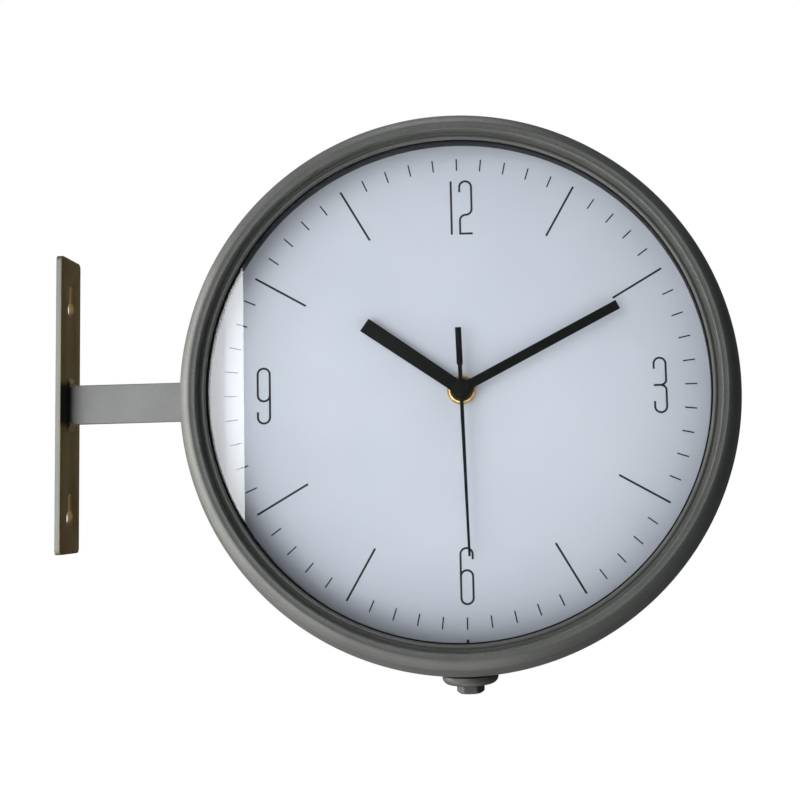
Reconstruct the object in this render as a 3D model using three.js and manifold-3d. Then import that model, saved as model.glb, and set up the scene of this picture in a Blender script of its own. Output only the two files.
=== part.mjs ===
// Double sided station clock on a wall bracket, in millimetres.
//
// The origin is the middle of the wall plate's back face. +X points away from the wall, along
// the arm. +Z is up. Y is the axis of the case: one dial faces -Y (front), one faces +Y (rear).
//
// Each dial unit is drawn once, in a frame of its own: x to the right and z up as that dial is
// read, and "out" the distance from the middle plane of the case towards the reader, which is -y.
// The rear unit is the front unit turned half a turn about the vertical.

import * as THREE from 'three';
import { mergeVertices } from 'three/addons/utils/BufferGeometryUtils.js';
import Module from 'manifold-3d';

const wasm = await Module();
wasm.setup();

// ---- clearances ----
const SEAT_GAP = 0.3;            // between two pieces that rest on each other
const RUNNING_GAP = 0.35;        // radial, round a shaft or pipe that turns
const ROUND_SIDES = 40;          // sides of every large ring, so that nested rings follow each other
const SHAFT_SIDES = 12;
const NUT_SIDES = 20;
const SMALL_SIDES = 16;
const CUT_PAST = 1;              // how far a cut runs past the faces that it opens
const BITE = 0.1;                // how far two forms of one piece run into each other

// ---- wall bracket ----
const PLATE_HEIGHT = 160;
const PLATE_WIDTH = 28;
const PLATE_THICKNESS = 3;
const PLATE_CORNER = 3;
const KEYHOLE_SPACING = 113;
const KEYHOLE_HEAD_RADIUS = 4.6;
const KEYHOLE_SLOT_WIDTH = 4.8;
const KEYHOLE_TRAVEL = 11;
const ARM_HEIGHT = 20;
const ARM_THICKNESS = 3.5;
const ARM_CLEAR_LENGTH = 63.2;   // bare arm between the plate and the case
const ARM_TAIL = 46;             // arm inside the case
const WELD_LEG = 5;
const WELD_ROOT = 1;             // how deep the weld runs into the arm's edge
const WELD_THROAT = 1.4;         // leg of the smallest triangle under the hollow face
const WELD_SPREAD = 2.5;         // past each face of the arm

// ---- case drum ----
const CASE_RADIUS = 150;
const CASE_SHEET = 1.2;
const CASE_BAND_HALF = 14;       // half of the flat band round the middle
const SHOULDER_RISE = 8.1;       // how far the shoulder stands out from the mouth
const SHOULDER_BULGE = 0.5;      // how far it swells past a straight cone

// ---- bridge inside the case ----
const STRAP_THICKNESS = 3;
const STRAP_HEIGHT = 20;
const CHEEK_THICKNESS = 3;
const CHEEK_ROOT = 4;
const CHEEK_MARGIN = 8;          // cheek past the outer bolt
const FOOT_WIDTH = 24;
const FOOT_DEPTH = 14;
const FOOT_THICKNESS = 9;
const SIDE_FOOT_THICKNESS = 3;
const ARM_BOLT_RADIUS = 2;
const ARM_BOLT_PITCH = 16;
const ARM_BOLT_END = 6;          // from the inner bolt to the end of the arm
const ARM_BOLT_HEAD_RADIUS = 3.8;
const ARM_BOLT_HEAD = 2.6;

// ---- bolt and washer under the case ----
const STUD_RADIUS = 4;
const STUD_HEAD_FLATS = 13;
const STUD_HEAD = 5.3;
const STUD_CHAMFER = 1.1;
const STUD_REACH = 16;           // stud inside the case radius
const CUP_BASE_RADIUS = 15;
const CUP_TOP_RADIUS = 8;
const CUP_HEIGHT = 5;
const CUP_EDGE = 0.8;

// ---- bezel unit: radii, from the mouth of the drum inwards ----
const SKIRT_SHEET = 0.9;
const SKIRT_LENGTH = 13;
const BEAD_WIDTH = 9.6;
const BEAD_FLANK = 3.9;          // from the groove out to the bead's crest
const BEAD_RISE = 7.3;           // crest of the bead above the seat of the lip
const BEAD_LIFT = 0.3;           // foot of the bead above the hem on the drum's mouth
const BEZEL_SHEET = 1.1;
const LIP_WIDTH = 3.1;
const LIP_RISE = 2.4;
const LIP_CREST = 1;             // crest of the lip from its inner edge
const GLASS_COVER = 2.7;         // how far the lip covers the glass
const GLASS_THICKNESS = 2;
const GASKET_THICKNESS = 0.8;
const GASKET_SHOW = 0.6;         // how far the gasket shows inside the lip
const SPACER_STEP = 2.5;         // inner wall of the spacer ring behind the lip edge
const SPACER_SHEET = 1;
const SPACER_LENGTH = 13.7;
const DIAL_BITE = 1.2;           // how far the dial reaches behind the spacer ring
const DIAL_THICKNESS = 0.8;
const DIAL_LUG = 2.2;
const DIAL_LUG_WIDTH = 1.6;
const DIAL_LUG_DEPTH = 1.2;
const RETAINER_THICKNESS = 1;
const RETAINER_BITE = 6;         // how far the retainer ring covers the dial

// ---- movement ----
const MOVEMENT_CLEARANCE = 4.5;  // between the bridge strap and the back of a movement
const MOVEMENT_DEPTH = 15.6;
const MOVEMENT_WALL = 1;
const COVER_THICKNESS = 0.8;
const BUSH_WALL = 0.85;
const BUSH_LENGTH = 7.6;
const RUBBER_RADIUS = 14;
const RUBBER_THICKNESS = 2;
const BRASS_WASHER_RADIUS = 7.2;
const BRASS_WASHER_THICKNESS = 0.5;
const BRASS_NUT_RADIUS = 7.7;
const BRASS_NUT_HEIGHT = 2.8;
const BRASS_NUT_ROLL = 1.6;
const BRASS_NUT_EDGE = 0.4;
const BRASS_NUT_DISH = 1.1;      // sunk face inside the rolled edge
const BATTERY_RADIUS = 7.25;
const BATTERY_LENGTH = 49;
const BATTERY_NUB = 1.1;
const BATTERY_NUB_RADIUS = 2.6;
const BATTERY_ROOM = 0.8;        // above and below the battery in its bay
const CONTACT_THICKNESS = 0.6;
const CONTACT_SIDE = 10;
const CONTACT_SPRING = 0.75;     // length of a contact's button
const CONTACT_TIP_RADIUS = 2.2;
const CONTACT_ROOT_RADIUS = 3.4;

// ---- gear train ----
const GEAR_THICKNESS = 0.8;
const MESH_OVERLAP = 0.4;        // how far a pinion runs past each face of the wheel that it meets
const LAYER_GAP = 0.5;           // between wheels that pass over each other
const GEAR_PLAY = 0.1;           // added to each distance between two arbors in mesh
const TOOTH_TIP = 0.8;           // in modules, beyond the pitch circle of a wheel
const TOOTH_ROOT = 1;            // in modules, within it
const TRAIN_ROOM = 0.5;          // between the centre wheel and the wall of the battery bay
const ROTOR_LEAVES = 6;
const INTERMEDIATE_TEETH = 30;
const INTERMEDIATE_LEAVES = 6;
const SECOND_TEETH = 36;
const SECOND_LEAVES = 6;
const THIRD_TEETH = 45;
const THIRD_LEAVES = 6;
const CENTRE_TEETH = 48;
const MINUTE_LEAVES = 8;
const SETTING_TEETH = 24;
const SETTING_LEAVES = 8;
const HOUR_TEETH = 32;
const TRAIN_MODULE = 0.4;        // rotor, intermediate, second and third wheels
const MOTION_MODULE = 0.7;       // minute pinion and setting wheel
const ARBOR_RADIUS = 0.5;
const SETTING_ARBOR_RADIUS = 1;
const PIPE_WALL = 0.7;
const ROTOR_MAGNET_RADIUS = 3;
const ROTOR_MAGNET_LENGTH = 2.6;
const ROTOR_AIR_GAP = 0.5;
const STATOR_THICKNESS = 1;
const STATOR_HALF = 20;
const STATOR_RIM = 0.8;          // plate below the rotor's eye
const COIL_RADIUS = 3.1;
const COIL_LENGTH = 26;
const KNOB_RADIUS = 4.5;
const KNOB_THICKNESS = 2.6;

// ---- hands ----
const HAND_SHEET = 0.6;
const HAND_COLLAR = 1.2;
const HAND_CLEARANCE = 0.6;      // between the bush and the hour hand
const PIPE_PROUD = 0.2;          // pipe past the collar of its hand
const HAND_STEP = 2.3;           // from one hand to the next, outwards
const HOUR_LENGTH = 61;
const HOUR_TIP_WIDTH = 7.9;
const HOUR_ROOT_WIDTH = 6.2;
const HOUR_HUB_RADIUS = 5.4;
const MINUTE_LENGTH = 93;
const MINUTE_TIP_WIDTH = 5;
const MINUTE_ROOT_WIDTH = 4;
const MINUTE_HUB_RADIUS = 4.8;
const SECOND_LENGTH = 86;
const SECOND_TIP_WIDTH = 1.1;
const SECOND_ROOT_WIDTH = 1.6;
const SECOND_TAIL = 32;
const SECOND_TAIL_WIDTH = 3.2;
const SECOND_NECK = 12;
const SECOND_NECK_WIDTH = 2.1;
const SECOND_HUB_RADIUS = 5.1;
const SECOND_CAP_HEIGHT = 1.9;
const HOUR_HAND_DEGREES = 305.25;   // clockwise from twelve, for 10:10:30
const MINUTE_HAND_DEGREES = 63;
const SECOND_HAND_DEGREES = 178.5;

// ---- what follows from them: the bracket and the case ----
const clockX = PLATE_THICKNESS + ARM_CLEAR_LENGTH + CASE_RADIUS;
const mouthRadius = CASE_RADIUS - SHOULDER_RISE;
const roundShrink = Math.cos(Math.PI / ROUND_SIDES);
const shaftShrink = Math.cos(Math.PI / SHAFT_SIDES);

// radii of the bezel unit
const skirtRadius = mouthRadius - CASE_SHEET - SEAT_GAP;
const skirtInner = skirtRadius - SKIRT_SHEET;
const beadInner = mouthRadius - BEAD_WIDTH;
const lipInner = beadInner - LIP_WIDTH;
const glassRadius = lipInner + GLASS_COVER;
const spacerInner = lipInner + SPACER_STEP;
const spacerOuter = spacerInner + SPACER_SHEET;
const dialRadius = spacerOuter + DIAL_BITE;
const retainerRadius = skirtInner - SEAT_GAP;
const retainerInner = dialRadius - RETAINER_BITE;

// distances out from the middle plane, from the movement's back to the front of the bezel
const movementBack = STRAP_THICKNESS / 2 + MOVEMENT_CLEARANCE;
const movementFront = movementBack + MOVEMENT_DEPTH;
const coverFront = movementBack + COVER_THICKNESS;
const frontWallBack = movementFront - MOVEMENT_WALL;
const rubberBack = movementFront + SEAT_GAP;
const dialBack = rubberBack + RUBBER_THICKNESS + SEAT_GAP;
const dialFace = dialBack + DIAL_THICKNESS;
const retainerFront = dialBack - SEAT_GAP;
const spacerBack = dialFace + SEAT_GAP;
const spacerFront = spacerBack + SPACER_LENGTH;
const glassBack = spacerFront + SEAT_GAP;
const glassFront = glassBack + GLASS_THICKNESS;
const gasketBack = glassFront + SEAT_GAP;
const gasketFront = gasketBack + GASKET_THICKNESS;
const lipBack = gasketFront + SEAT_GAP;
const beadCrest = lipBack + BEAD_RISE;
const hemBack = lipBack + BEZEL_SHEET;
const drumMouth = hemBack - SEAT_GAP;

// hands, outwards from the bush
const washerBack = dialFace + SEAT_GAP;
const nutBack = washerBack + BRASS_WASHER_THICKNESS + SEAT_GAP;
const bushFront = movementFront + BUSH_LENGTH;
const hourHandBack = bushFront + HAND_CLEARANCE;
const minuteHandBack = hourHandBack + HAND_STEP;
const secondHandBack = minuteHandBack + HAND_STEP;

// coaxial shafts at the centre of the dial
const minutePipeInner = (ARBOR_RADIUS + RUNNING_GAP) / shaftShrink;
const minutePipeOuter = minutePipeInner + PIPE_WALL;
const hourPipeInner = (minutePipeOuter + RUNNING_GAP) / shaftShrink;
const hourPipeOuter = hourPipeInner + PIPE_WALL;
const bushInner = (hourPipeOuter + RUNNING_GAP) / shaftShrink;
const bushRadius = bushInner + BUSH_WALL;
const overBush = (bushRadius + SEAT_GAP) / shaftShrink;

// the gear train's layers, outwards from the cover
const pinionLength = GEAR_THICKNESS + 2 * MESH_OVERLAP;
const arborBack = coverFront + SEAT_GAP;
const rotorPinionBack = arborBack + LAYER_GAP;
const intermediateBack = rotorPinionBack + MESH_OVERLAP;
const magnetBack = rotorPinionBack + pinionLength + MESH_OVERLAP;
const magnetFront = magnetBack + ROTOR_MAGNET_LENGTH;
const statorBack = (magnetBack + magnetFront - STATOR_THICKNESS) / 2;
const thirdBack = statorBack + STATOR_THICKNESS + LAYER_GAP;
const secondPinionBack = thirdBack - MESH_OVERLAP;
const secondBack = secondPinionBack - LAYER_GAP - GEAR_THICKNESS;
const thirdPinionBack = thirdBack + GEAR_THICKNESS + LAYER_GAP;
const centreBack = thirdPinionBack + MESH_OVERLAP;
const minutePipeBack = secondPinionBack + pinionLength + SEAT_GAP;
const minutePinionBack = centreBack + GEAR_THICKNESS + LAYER_GAP;
const settingBack = minutePinionBack + MESH_OVERLAP;
const settingPinionBack = settingBack + GEAR_THICKNESS + LAYER_GAP;
const hourBack = settingPinionBack + MESH_OVERLAP;

// where the arbors stand, as a dial is read
const trainDistance = TRAIN_MODULE * (SECOND_LEAVES + THIRD_TEETH) / 2 + GEAR_PLAY;
const centreModule = 2 * (trainDistance - GEAR_PLAY) / (THIRD_LEAVES + CENTRE_TEETH);
const motionDistance = MOTION_MODULE * (MINUTE_LEAVES + SETTING_TEETH) / 2 + GEAR_PLAY;
const hourModule = 2 * (motionDistance - GEAR_PLAY) / (SETTING_LEAVES + HOUR_TEETH);
const centreAxis = [0, 0];
const thirdAxis = beside(centreAxis, trainDistance, 30);
const intermediateAxis = beside(centreAxis, meshDistance(INTERMEDIATE_LEAVES, SECOND_TEETH), 100);
const rotorAxis = beside(intermediateAxis, meshDistance(ROTOR_LEAVES, INTERMEDIATE_TEETH), 115);
const settingAxis = beside(centreAxis, motionDistance, 180);

// battery bay, across the bottom of the movement
const insideHalf = (BATTERY_LENGTH + BATTERY_NUB) / 2 + CONTACT_SPRING + CONTACT_THICKNESS
  + 2 * SEAT_GAP;
const settingBore = (SETTING_ARBOR_RADIUS + RUNNING_GAP) / shaftShrink;
const centreTip = centreModule * (CENTRE_TEETH / 2 + TOOTH_TIP);
const bayTop = -(centreTip + TRAIN_ROOM + MOVEMENT_WALL);
const insideLow = bayTop - 2 * (BATTERY_RADIUS + BATTERY_ROOM);
const batteryZ = (insideLow + bayTop) / 2;
const batteryOut = frontWallBack - SEAT_GAP - BATTERY_RADIUS;

// ---- materials ----
function finish(color, roughness, metalness) {
  return new THREE.MeshStandardMaterial({ color, roughness, metalness });
}

const casePaint = finish(0x71756f, 0.4, 0.6);
const armPaint = finish(0x8f908e, 0.45, 0.5);
const platePaint = finish(0x6d5a3a, 0.45, 0.5);
const zincSteel = finish(0xa8a9a8, 0.35, 0.9);
const dialPaint = finish(0xc9d3e2, 0.55, 0);
const clearGlass = finish(0xeef4f6, 0.05, 0);
const blackRubber = finish(0x141416, 0.7, 0);
const handBlack = finish(0x0e0f0f, 0.5, 0);
const brass = finish(0xc79f55, 0.25, 1);
const blackPlastic = finish(0x1d1e20, 0.55, 0);
const whiteNylon = finish(0xe6e3d6, 0.5, 0);
const copperWire = finish(0xa4552c, 0.4, 0.8);
const batteryWrap = finish(0x39566b, 0.4, 0.2);

// ---- shapes and solids ----
function beside([x, z], distance, degrees) {
  const angle = THREE.MathUtils.degToRad(degrees);
  return [x + distance * Math.cos(angle), z + distance * Math.sin(angle)];
}

function meshDistance(leaves, teeth) {
  return TRAIN_MODULE * (leaves + teeth) / 2 + GEAR_PLAY;
}

function solid(geometry) {
  geometry.deleteAttribute('normal');
  geometry.deleteAttribute('uv');
  const merged = mergeVertices(geometry, 1e-4);
  const corners = merged.index.array;
  const kept = [];
  for (let i = 0; i < corners.length; i += 3) {
    const [a, b, c] = [corners[i], corners[i + 1], corners[i + 2]];
    if (a !== b && b !== c && c !== a) kept.push(a, b, c);
  }
  return new wasm.Manifold(new wasm.Mesh({
    numProp: 3,
    vertProperties: new Float32Array(merged.attributes.position.array),
    triVerts: new Uint32Array(kept),
  }));
}

function outlineOf(points) {
  return new THREE.Shape(points.map(([x, y]) => new THREE.Vector2(x, y)));
}

function joined(first, ...others) {
  return others.reduce((whole, piece) => whole.add(piece), first);
}

function cutBy(first, ...tools) {
  return tools.reduce((whole, tool) => whole.subtract(tool), first);
}

function pieceOf(name, shape, material) {
  const { vertProperties, triVerts } = shape.getMesh();
  const geometry = new THREE.BufferGeometry();
  geometry.setAttribute('position', new THREE.BufferAttribute(vertProperties, 3));
  geometry.setIndex(new THREE.BufferAttribute(triVerts, 1));
  geometry.computeVertexNormals();
  const mesh = new THREE.Mesh(geometry, material);
  mesh.name = name;
  return mesh;
}

function block([x0, x1], [y0, y1], [z0, z1]) {
  const box = new THREE.BoxGeometry(x1 - x0, y1 - y0, z1 - z0);
  return solid(box.translate((x0 + x1) / 2, (y0 + y1) / 2, (z0 + z1) / 2));
}

// A block of a dial unit, between two distances out from the middle plane.
function outBlock(xRange, [back, front], zRange) {
  return block(xRange, [-front, -back], zRange);
}

// A round bar of a dial unit, lying along the out direction.
function outBar([x, z], radius, [back, front], sides = SHAFT_SIDES) {
  const bar = new THREE.CylinderGeometry(radius, radius, front - back, sides);
  return solid(bar.translate(x, -(back + front) / 2, z));
}

// A flat shape drawn in x and z, given its thickness along the out direction.
function outSheet(shape, [back, front]) {
  const sheet = new THREE.ExtrudeGeometry(shape, { depth: front - back, bevelEnabled: false });
  return solid(sheet.translate(0, 0, back).rotateX(Math.PI / 2));
}

// A closed profile of [radius, out] points turned round the Y axis, with out towards +Y.
function lathed(profile, sides) {
  let twiceArea = 0;
  profile.forEach(([r, out], i) => {
    const [nextR, nextOut] = profile[(i + 1) % profile.length];
    twiceArea += r * nextOut - nextR * out;
  });
  const ordered = twiceArea > 0 ? profile : [...profile].reverse();
  const loop = [...ordered, ordered[0]].map(([r, out]) => new THREE.Vector2(r, out));
  return new THREE.LatheGeometry(loop, sides);
}

// The same round the axis of the dial, with out towards the reader.
function turned(profile, sides = ROUND_SIDES) {
  return solid(lathed(profile, sides).rotateX(Math.PI));
}

// The same round the vertical, with out pointing down.
function turnedBelow(profile, sides) {
  return solid(lathed(profile, sides).rotateX(-Math.PI / 2));
}

// A round cut straight through the drum's wall at the bottom of the case.
function drilledBelow(radius, top) {
  const bottom = CASE_RADIUS + CUT_PAST;
  return turnedBelow([[0, top], [radius, top], [radius, bottom], [0, bottom]], SHAFT_SIDES);
}

function ring(inner, outer, [back, front], sides = ROUND_SIDES) {
  return turned([[inner, back], [outer, back], [outer, front], [inner, front]], sides);
}

function disc(radius, range, sides = ROUND_SIDES) {
  return outBar([0, 0], radius, range, sides);
}

// Points along a quarter or half turn of an ellipse, ends included.
function arc([r, out], [reachR, reachOut], fromDegrees, toDegrees, steps) {
  return Array.from({ length: steps + 1 }, (_, i) => {
    const angle = THREE.MathUtils.degToRad(fromDegrees + (toDegrees - fromDegrees) * i / steps);
    return [r + reachR * Math.cos(angle), out + reachOut * Math.sin(angle)];
  });
}

// ---- gears ----
// Wheel teeth are plain ridges: one point at each tip and one at each root.
function wheelShape([x, z], teeth, module, toothAngle) {
  const pitch = module * teeth / 2;
  const points = [];
  for (let i = 0; i < 2 * teeth; i += 1) {
    const angle = toothAngle + i * Math.PI / teeth;
    const radius = i % 2 === 0 ? pitch + TOOTH_TIP * module : pitch - TOOTH_ROOT * module;
    points.push(new THREE.Vector2(x + radius * Math.cos(angle), z + radius * Math.sin(angle)));
  }
  return new THREE.Shape(points);
}

// Pinion leaves have a narrow land at the tip and a wider floor between them.
function pinionShape([x, z], leaves, module, leafAngle) {
  const pitch = module * leaves / 2;
  const step = 2 * Math.PI / leaves;
  const points = [];
  for (let i = 0; i < leaves; i += 1) {
    const middle = leafAngle + i * step;
    for (const [share, radius] of [[-0.24, pitch - 0.9 * module], [-0.07, pitch + 0.7 * module],
      [0.07, pitch + 0.7 * module], [0.24, pitch - 0.9 * module]]) {
      const angle = middle + share * step;
      points.push(new THREE.Vector2(x + radius * Math.cos(angle), z + radius * Math.sin(angle)));
    }
  }
  return new THREE.Shape(points);
}

function heading([x0, z0], [x1, z1]) {
  return Math.atan2(z1 - z0, x1 - x0);
}

// A pinion with a leaf on the line towards the wheel that it meshes with.
function drivingPinion(axis, leaves, module, wheelAxis, back, front = back + pinionLength) {
  const shape = pinionShape(axis, leaves, module, heading(axis, wheelAxis));
  return outSheet(shape, [back, front]);
}

// A wheel with a gap between two teeth on the line towards its pinion.
function meshingWheel(axis, teeth, module, pinionAxis, back) {
  const shape = wheelShape(axis, teeth, module, heading(axis, pinionAxis) + Math.PI / teeth);
  return outSheet(shape, [back, back + GEAR_THICKNESS]);
}

// ---- wall bracket ----
function crossBar(radius, z) {
  const length = PLATE_THICKNESS + 2 * CUT_PAST;
  const bar = new THREE.CylinderGeometry(radius, radius, length, SMALL_SIDES);
  return solid(bar.rotateZ(Math.PI / 2).translate(PLATE_THICKNESS / 2, 0, z));
}

function keyhole(z) {
  const half = KEYHOLE_SLOT_WIDTH / 2;
  return joined(
    crossBar(KEYHOLE_HEAD_RADIUS, z),
    crossBar(half, z + KEYHOLE_TRAVEL),
    block([-CUT_PAST, PLATE_THICKNESS + CUT_PAST], [-half, half], [z, z + KEYHOLE_TRAVEL]),
  );
}

function wallPlate() {
  const w = PLATE_WIDTH / 2;
  const h = PLATE_HEIGHT / 2;
  const c = PLATE_CORNER;
  const outline = outlineOf([[w - c, -h], [w, -h + c], [w, h - c], [w - c, h],
    [-w + c, h], [-w, h - c], [-w, -h + c], [-w + c, -h]]);
  const flat = new THREE.ExtrudeGeometry(outline, { depth: PLATE_THICKNESS, bevelEnabled: false });
  const plate = solid(flat.rotateX(Math.PI / 2).rotateZ(Math.PI / 2));
  const pattern = KEYHOLE_HEAD_RADIUS + KEYHOLE_SPACING + KEYHOLE_TRAVEL + KEYHOLE_SLOT_WIDTH / 2;
  const low = KEYHOLE_HEAD_RADIUS - pattern / 2;
  return cutBy(plate, keyhole(low), keyhole(low + KEYHOLE_SPACING));
}

// A weld bead with a hollow face, along the upper (side 1) or lower (side -1) edge of the arm.
function armWeld(side) {
  const start = PLATE_THICKNESS + SEAT_GAP;
  const top = ARM_HEIGHT / 2;
  const corners = [[0, -WELD_ROOT], [WELD_ROOT, -WELD_ROOT], [WELD_LEG, 0],
    [WELD_THROAT, WELD_THROAT], [0, WELD_LEG]];
  const reach = ARM_THICKNESS / 2 + WELD_SPREAD;
  return outSheet(outlineOf(corners.map(([x, z]) => [start + x, side * (top + z)])), [-reach, reach]);
}

// The arm is welded to the plate, and its tail lies between the bridge's cheeks.
function bracketArm() {
  const start = PLATE_THICKNESS + SEAT_GAP;
  const end = clockX - CASE_RADIUS + ARM_TAIL;
  const half = ARM_THICKNESS / 2;
  const bar = block([start, end], [-half, half], [-ARM_HEIGHT / 2, ARM_HEIGHT / 2]);
  const through = [-half - CUT_PAST, half + CUT_PAST];
  const holes = armBoltCentres().map((x) => outBar([x, 0], boltHole(), through));
  return cutBy(joined(bar, armWeld(1), armWeld(-1)), ...holes);
}

function boltHole() {
  return (ARM_BOLT_RADIUS + SEAT_GAP) / shaftShrink;
}

function armBoltCentres() {
  const last = clockX - CASE_RADIUS + ARM_TAIL - ARM_BOLT_END;
  return [last - ARM_BOLT_PITCH, last];
}

// ---- case drum ----
function drumProfile() {
  const shoulder = (radius) => [
    [radius, CASE_BAND_HALF],
    [radius - SHOULDER_RISE / 2 + SHOULDER_BULGE, (CASE_BAND_HALF + drumMouth) / 2],
    [radius - SHOULDER_RISE, drumMouth],
  ];
  const behind = (points) => points.map(([r, out]) => [r, -out]);
  const outside = shoulder(CASE_RADIUS);
  const inside = shoulder(CASE_RADIUS - CASE_SHEET);
  return [...behind(outside).reverse(), ...outside, ...[...inside].reverse(), ...behind(inside)];
}

function caseDrum() {
  const slotHalf = ARM_THICKNESS / 2 + SEAT_GAP;
  const slotTop = ARM_HEIGHT / 2 + SEAT_GAP;
  const slot = block([-CASE_RADIUS - CUT_PAST, -CASE_RADIUS + slotTop], [-slotHalf, slotHalf],
    [-slotTop, slotTop]);
  return cutBy(turned(drumProfile()), slot, drilledBelow(studHole(), CASE_RADIUS - CUP_BASE_RADIUS));
}

function studHole() {
  return (STUD_RADIUS + SEAT_GAP) / shaftShrink;
}

// ---- bridge: a T of strap steel that the arm, the drum and the bolt below are fixed to ----
function centreBridge() {
  const wall = (CASE_RADIUS - CASE_SHEET) * roundShrink - SEAT_GAP;
  const footReach = Math.sqrt(wall ** 2 - (FOOT_WIDTH / 2) ** 2);
  const strap = STRAP_THICKNESS / 2;
  const half = STRAP_HEIGHT / 2;
  const foot = FOOT_WIDTH / 2;
  const deep = FOOT_DEPTH / 2;
  const rootX = -CASE_RADIUS + ARM_TAIL + SEAT_GAP;
  const cheekX = armBoltCentres()[0] - clockX - CHEEK_MARGIN;
  const cheekIn = ARM_THICKNESS / 2 + SEAT_GAP;
  const cheekOut = cheekIn + CHEEK_THICKNESS;
  const frame = joined(
    block([rootX, footReach], [-strap, strap], [-half, half]),
    block([-half, half], [-strap, strap], [-footReach, -half + BITE]),
    block([rootX, rootX + CHEEK_ROOT], [-cheekOut, cheekOut], [-half, half]),
    block([cheekX, rootX + CHEEK_ROOT], [cheekIn, cheekOut], [-half, half]),
    block([cheekX, rootX + CHEEK_ROOT], [-cheekOut, -cheekIn], [-half, half]),
    block([footReach - SIDE_FOOT_THICKNESS, footReach], [-deep, deep], [-foot, foot]),
    block([-foot, foot], [-deep, deep], [-footReach, -footReach + FOOT_THICKNESS]),
  );
  const through = [-cheekOut - CUT_PAST, cheekOut + CUT_PAST];
  const holes = armBoltCentres().map((x) => outBar([x - clockX, 0], boltHole(), through));
  const thread = drilledBelow(studHole(), CASE_RADIUS - STUD_REACH - SEAT_GAP);
  return cutBy(frame, ...holes, thread);
}

function armBolt(x) {
  const cheekOut = ARM_THICKNESS / 2 + SEAT_GAP + CHEEK_THICKNESS;
  const under = cheekOut + SEAT_GAP;
  return joined(
    outBar([x, 0], ARM_BOLT_RADIUS, [-cheekOut, under + BITE]),
    outBar([x, 0], ARM_BOLT_HEAD_RADIUS, [under, under + ARM_BOLT_HEAD], 6),
  );
}

// ---- cup washer and bolt under the drum ----
function cupWasher() {
  const bore = studHole();
  const seat = CASE_RADIUS + SEAT_GAP;
  const dome = arc([CUP_TOP_RADIUS, seat + CUP_EDGE], [CUP_BASE_RADIUS - CUP_TOP_RADIUS,
    CUP_HEIGHT - CUP_EDGE], 0, 90, 2);
  const profile = [[bore, seat], [CUP_BASE_RADIUS, seat], ...dome, [bore, seat + CUP_HEIGHT]];
  return turnedBelow(profile, NUT_SIDES);
}

function cupBolt() {
  const under = CASE_RADIUS + 2 * SEAT_GAP + CUP_HEIGHT;
  const corner = STUD_HEAD_FLATS / Math.sqrt(3);
  const head = turnedBelow([[0, under], [corner, under], [corner, under + STUD_HEAD - STUD_CHAMFER],
    [corner - STUD_CHAMFER, under + STUD_HEAD], [0, under + STUD_HEAD]], 6);
  const inside = CASE_RADIUS - STUD_REACH;
  const shank = turnedBelow([[0, inside], [STUD_RADIUS, inside], [STUD_RADIUS, under + BITE],
    [0, under + BITE]], SHAFT_SIDES);
  return head.add(shank);
}

// ---- bezel, glass and dial ----
function bezel() {
  const beadFoot = hemBack + BEAD_LIFT;
  const crest = [beadInner + BEAD_FLANK, beadFoot];
  const rise = beadCrest - beadFoot;
  return turned([
    [lipInner, lipBack],
    [lipInner, lipBack + LIP_RISE / 2],
    [lipInner + LIP_CREST, lipBack + LIP_RISE],
    ...arc(crest, [BEAD_FLANK, rise], 180, 90, 3),
    ...arc(crest, [BEAD_WIDTH - BEAD_FLANK, rise], 90, 0, 3).slice(1),
    [mouthRadius, hemBack],
    [skirtRadius, hemBack],
    [skirtRadius, hemBack - SKIRT_LENGTH],
    [skirtInner, hemBack - SKIRT_LENGTH],
    [skirtInner, hemBack + BEZEL_SHEET],
    ...arc(crest, [BEAD_FLANK - BEZEL_SHEET, rise - BEZEL_SHEET], 35, 145, 1),
    [beadInner + BEZEL_SHEET, lipBack],
  ]);
}

function gasket() {
  return ring(lipInner - GASKET_SHOW, glassRadius, [gasketBack, gasketFront]);
}

function glass() {
  return disc(glassRadius, [glassBack, glassFront]);
}

// A lug at the bottom of the spacer ring keys the dial upright.
function spacerRing() {
  const wall = ring(spacerInner, spacerOuter, [spacerBack, spacerFront]);
  const half = DIAL_LUG_WIDTH / 2;
  const lug = outBlock([-half, half], [spacerBack, spacerBack + DIAL_LUG_DEPTH],
    [-spacerInner - SPACER_SHEET / 2, -spacerInner + DIAL_LUG]);
  return wall.add(lug);
}

function dial() {
  const hole = outBar(centreAxis, overBush, [dialBack - CUT_PAST, dialFace + CUT_PAST]);
  return disc(dialRadius, [dialBack, dialFace]).subtract(hole);
}

function dialRetainer() {
  return ring(retainerInner, retainerRadius, [retainerFront - RETAINER_THICKNESS, retainerFront]);
}

// ---- movement ----
// The tray holds the train in front of the cover, and the battery in an open bay at the bottom.
function movementCase() {
  const half = insideHalf + MOVEMENT_WALL;
  const shell = outBlock([-half, half], [movementBack, movementFront],
    [insideLow - MOVEMENT_WALL, half]);
  const trainRoom = outBlock([-insideHalf, insideHalf], [movementBack - CUT_PAST, frontWallBack],
    [bayTop + MOVEMENT_WALL, insideHalf]);
  const batteryBay = outBlock([-insideHalf, insideHalf], [movementBack - CUT_PAST, frontWallBack],
    [insideLow, bayTop]);
  const bush = outBar(centreAxis, bushRadius, [movementFront - BITE, bushFront]);
  const bore = outBar(centreAxis, bushInner, [frontWallBack - CUT_PAST, bushFront + CUT_PAST]);
  return cutBy(joined(cutBy(shell, trainRoom, batteryBay), bush), bore);
}

function movementCover() {
  const edge = insideHalf - SEAT_GAP;
  const low = bayTop + MOVEMENT_WALL + SEAT_GAP;
  const sheet = outBlock([-edge, edge], [movementBack, coverFront], [low, edge]);
  const hole = outBar(settingAxis, settingBore, [movementBack - CUT_PAST, coverFront + CUT_PAST]);
  return sheet.subtract(hole);
}

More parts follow.
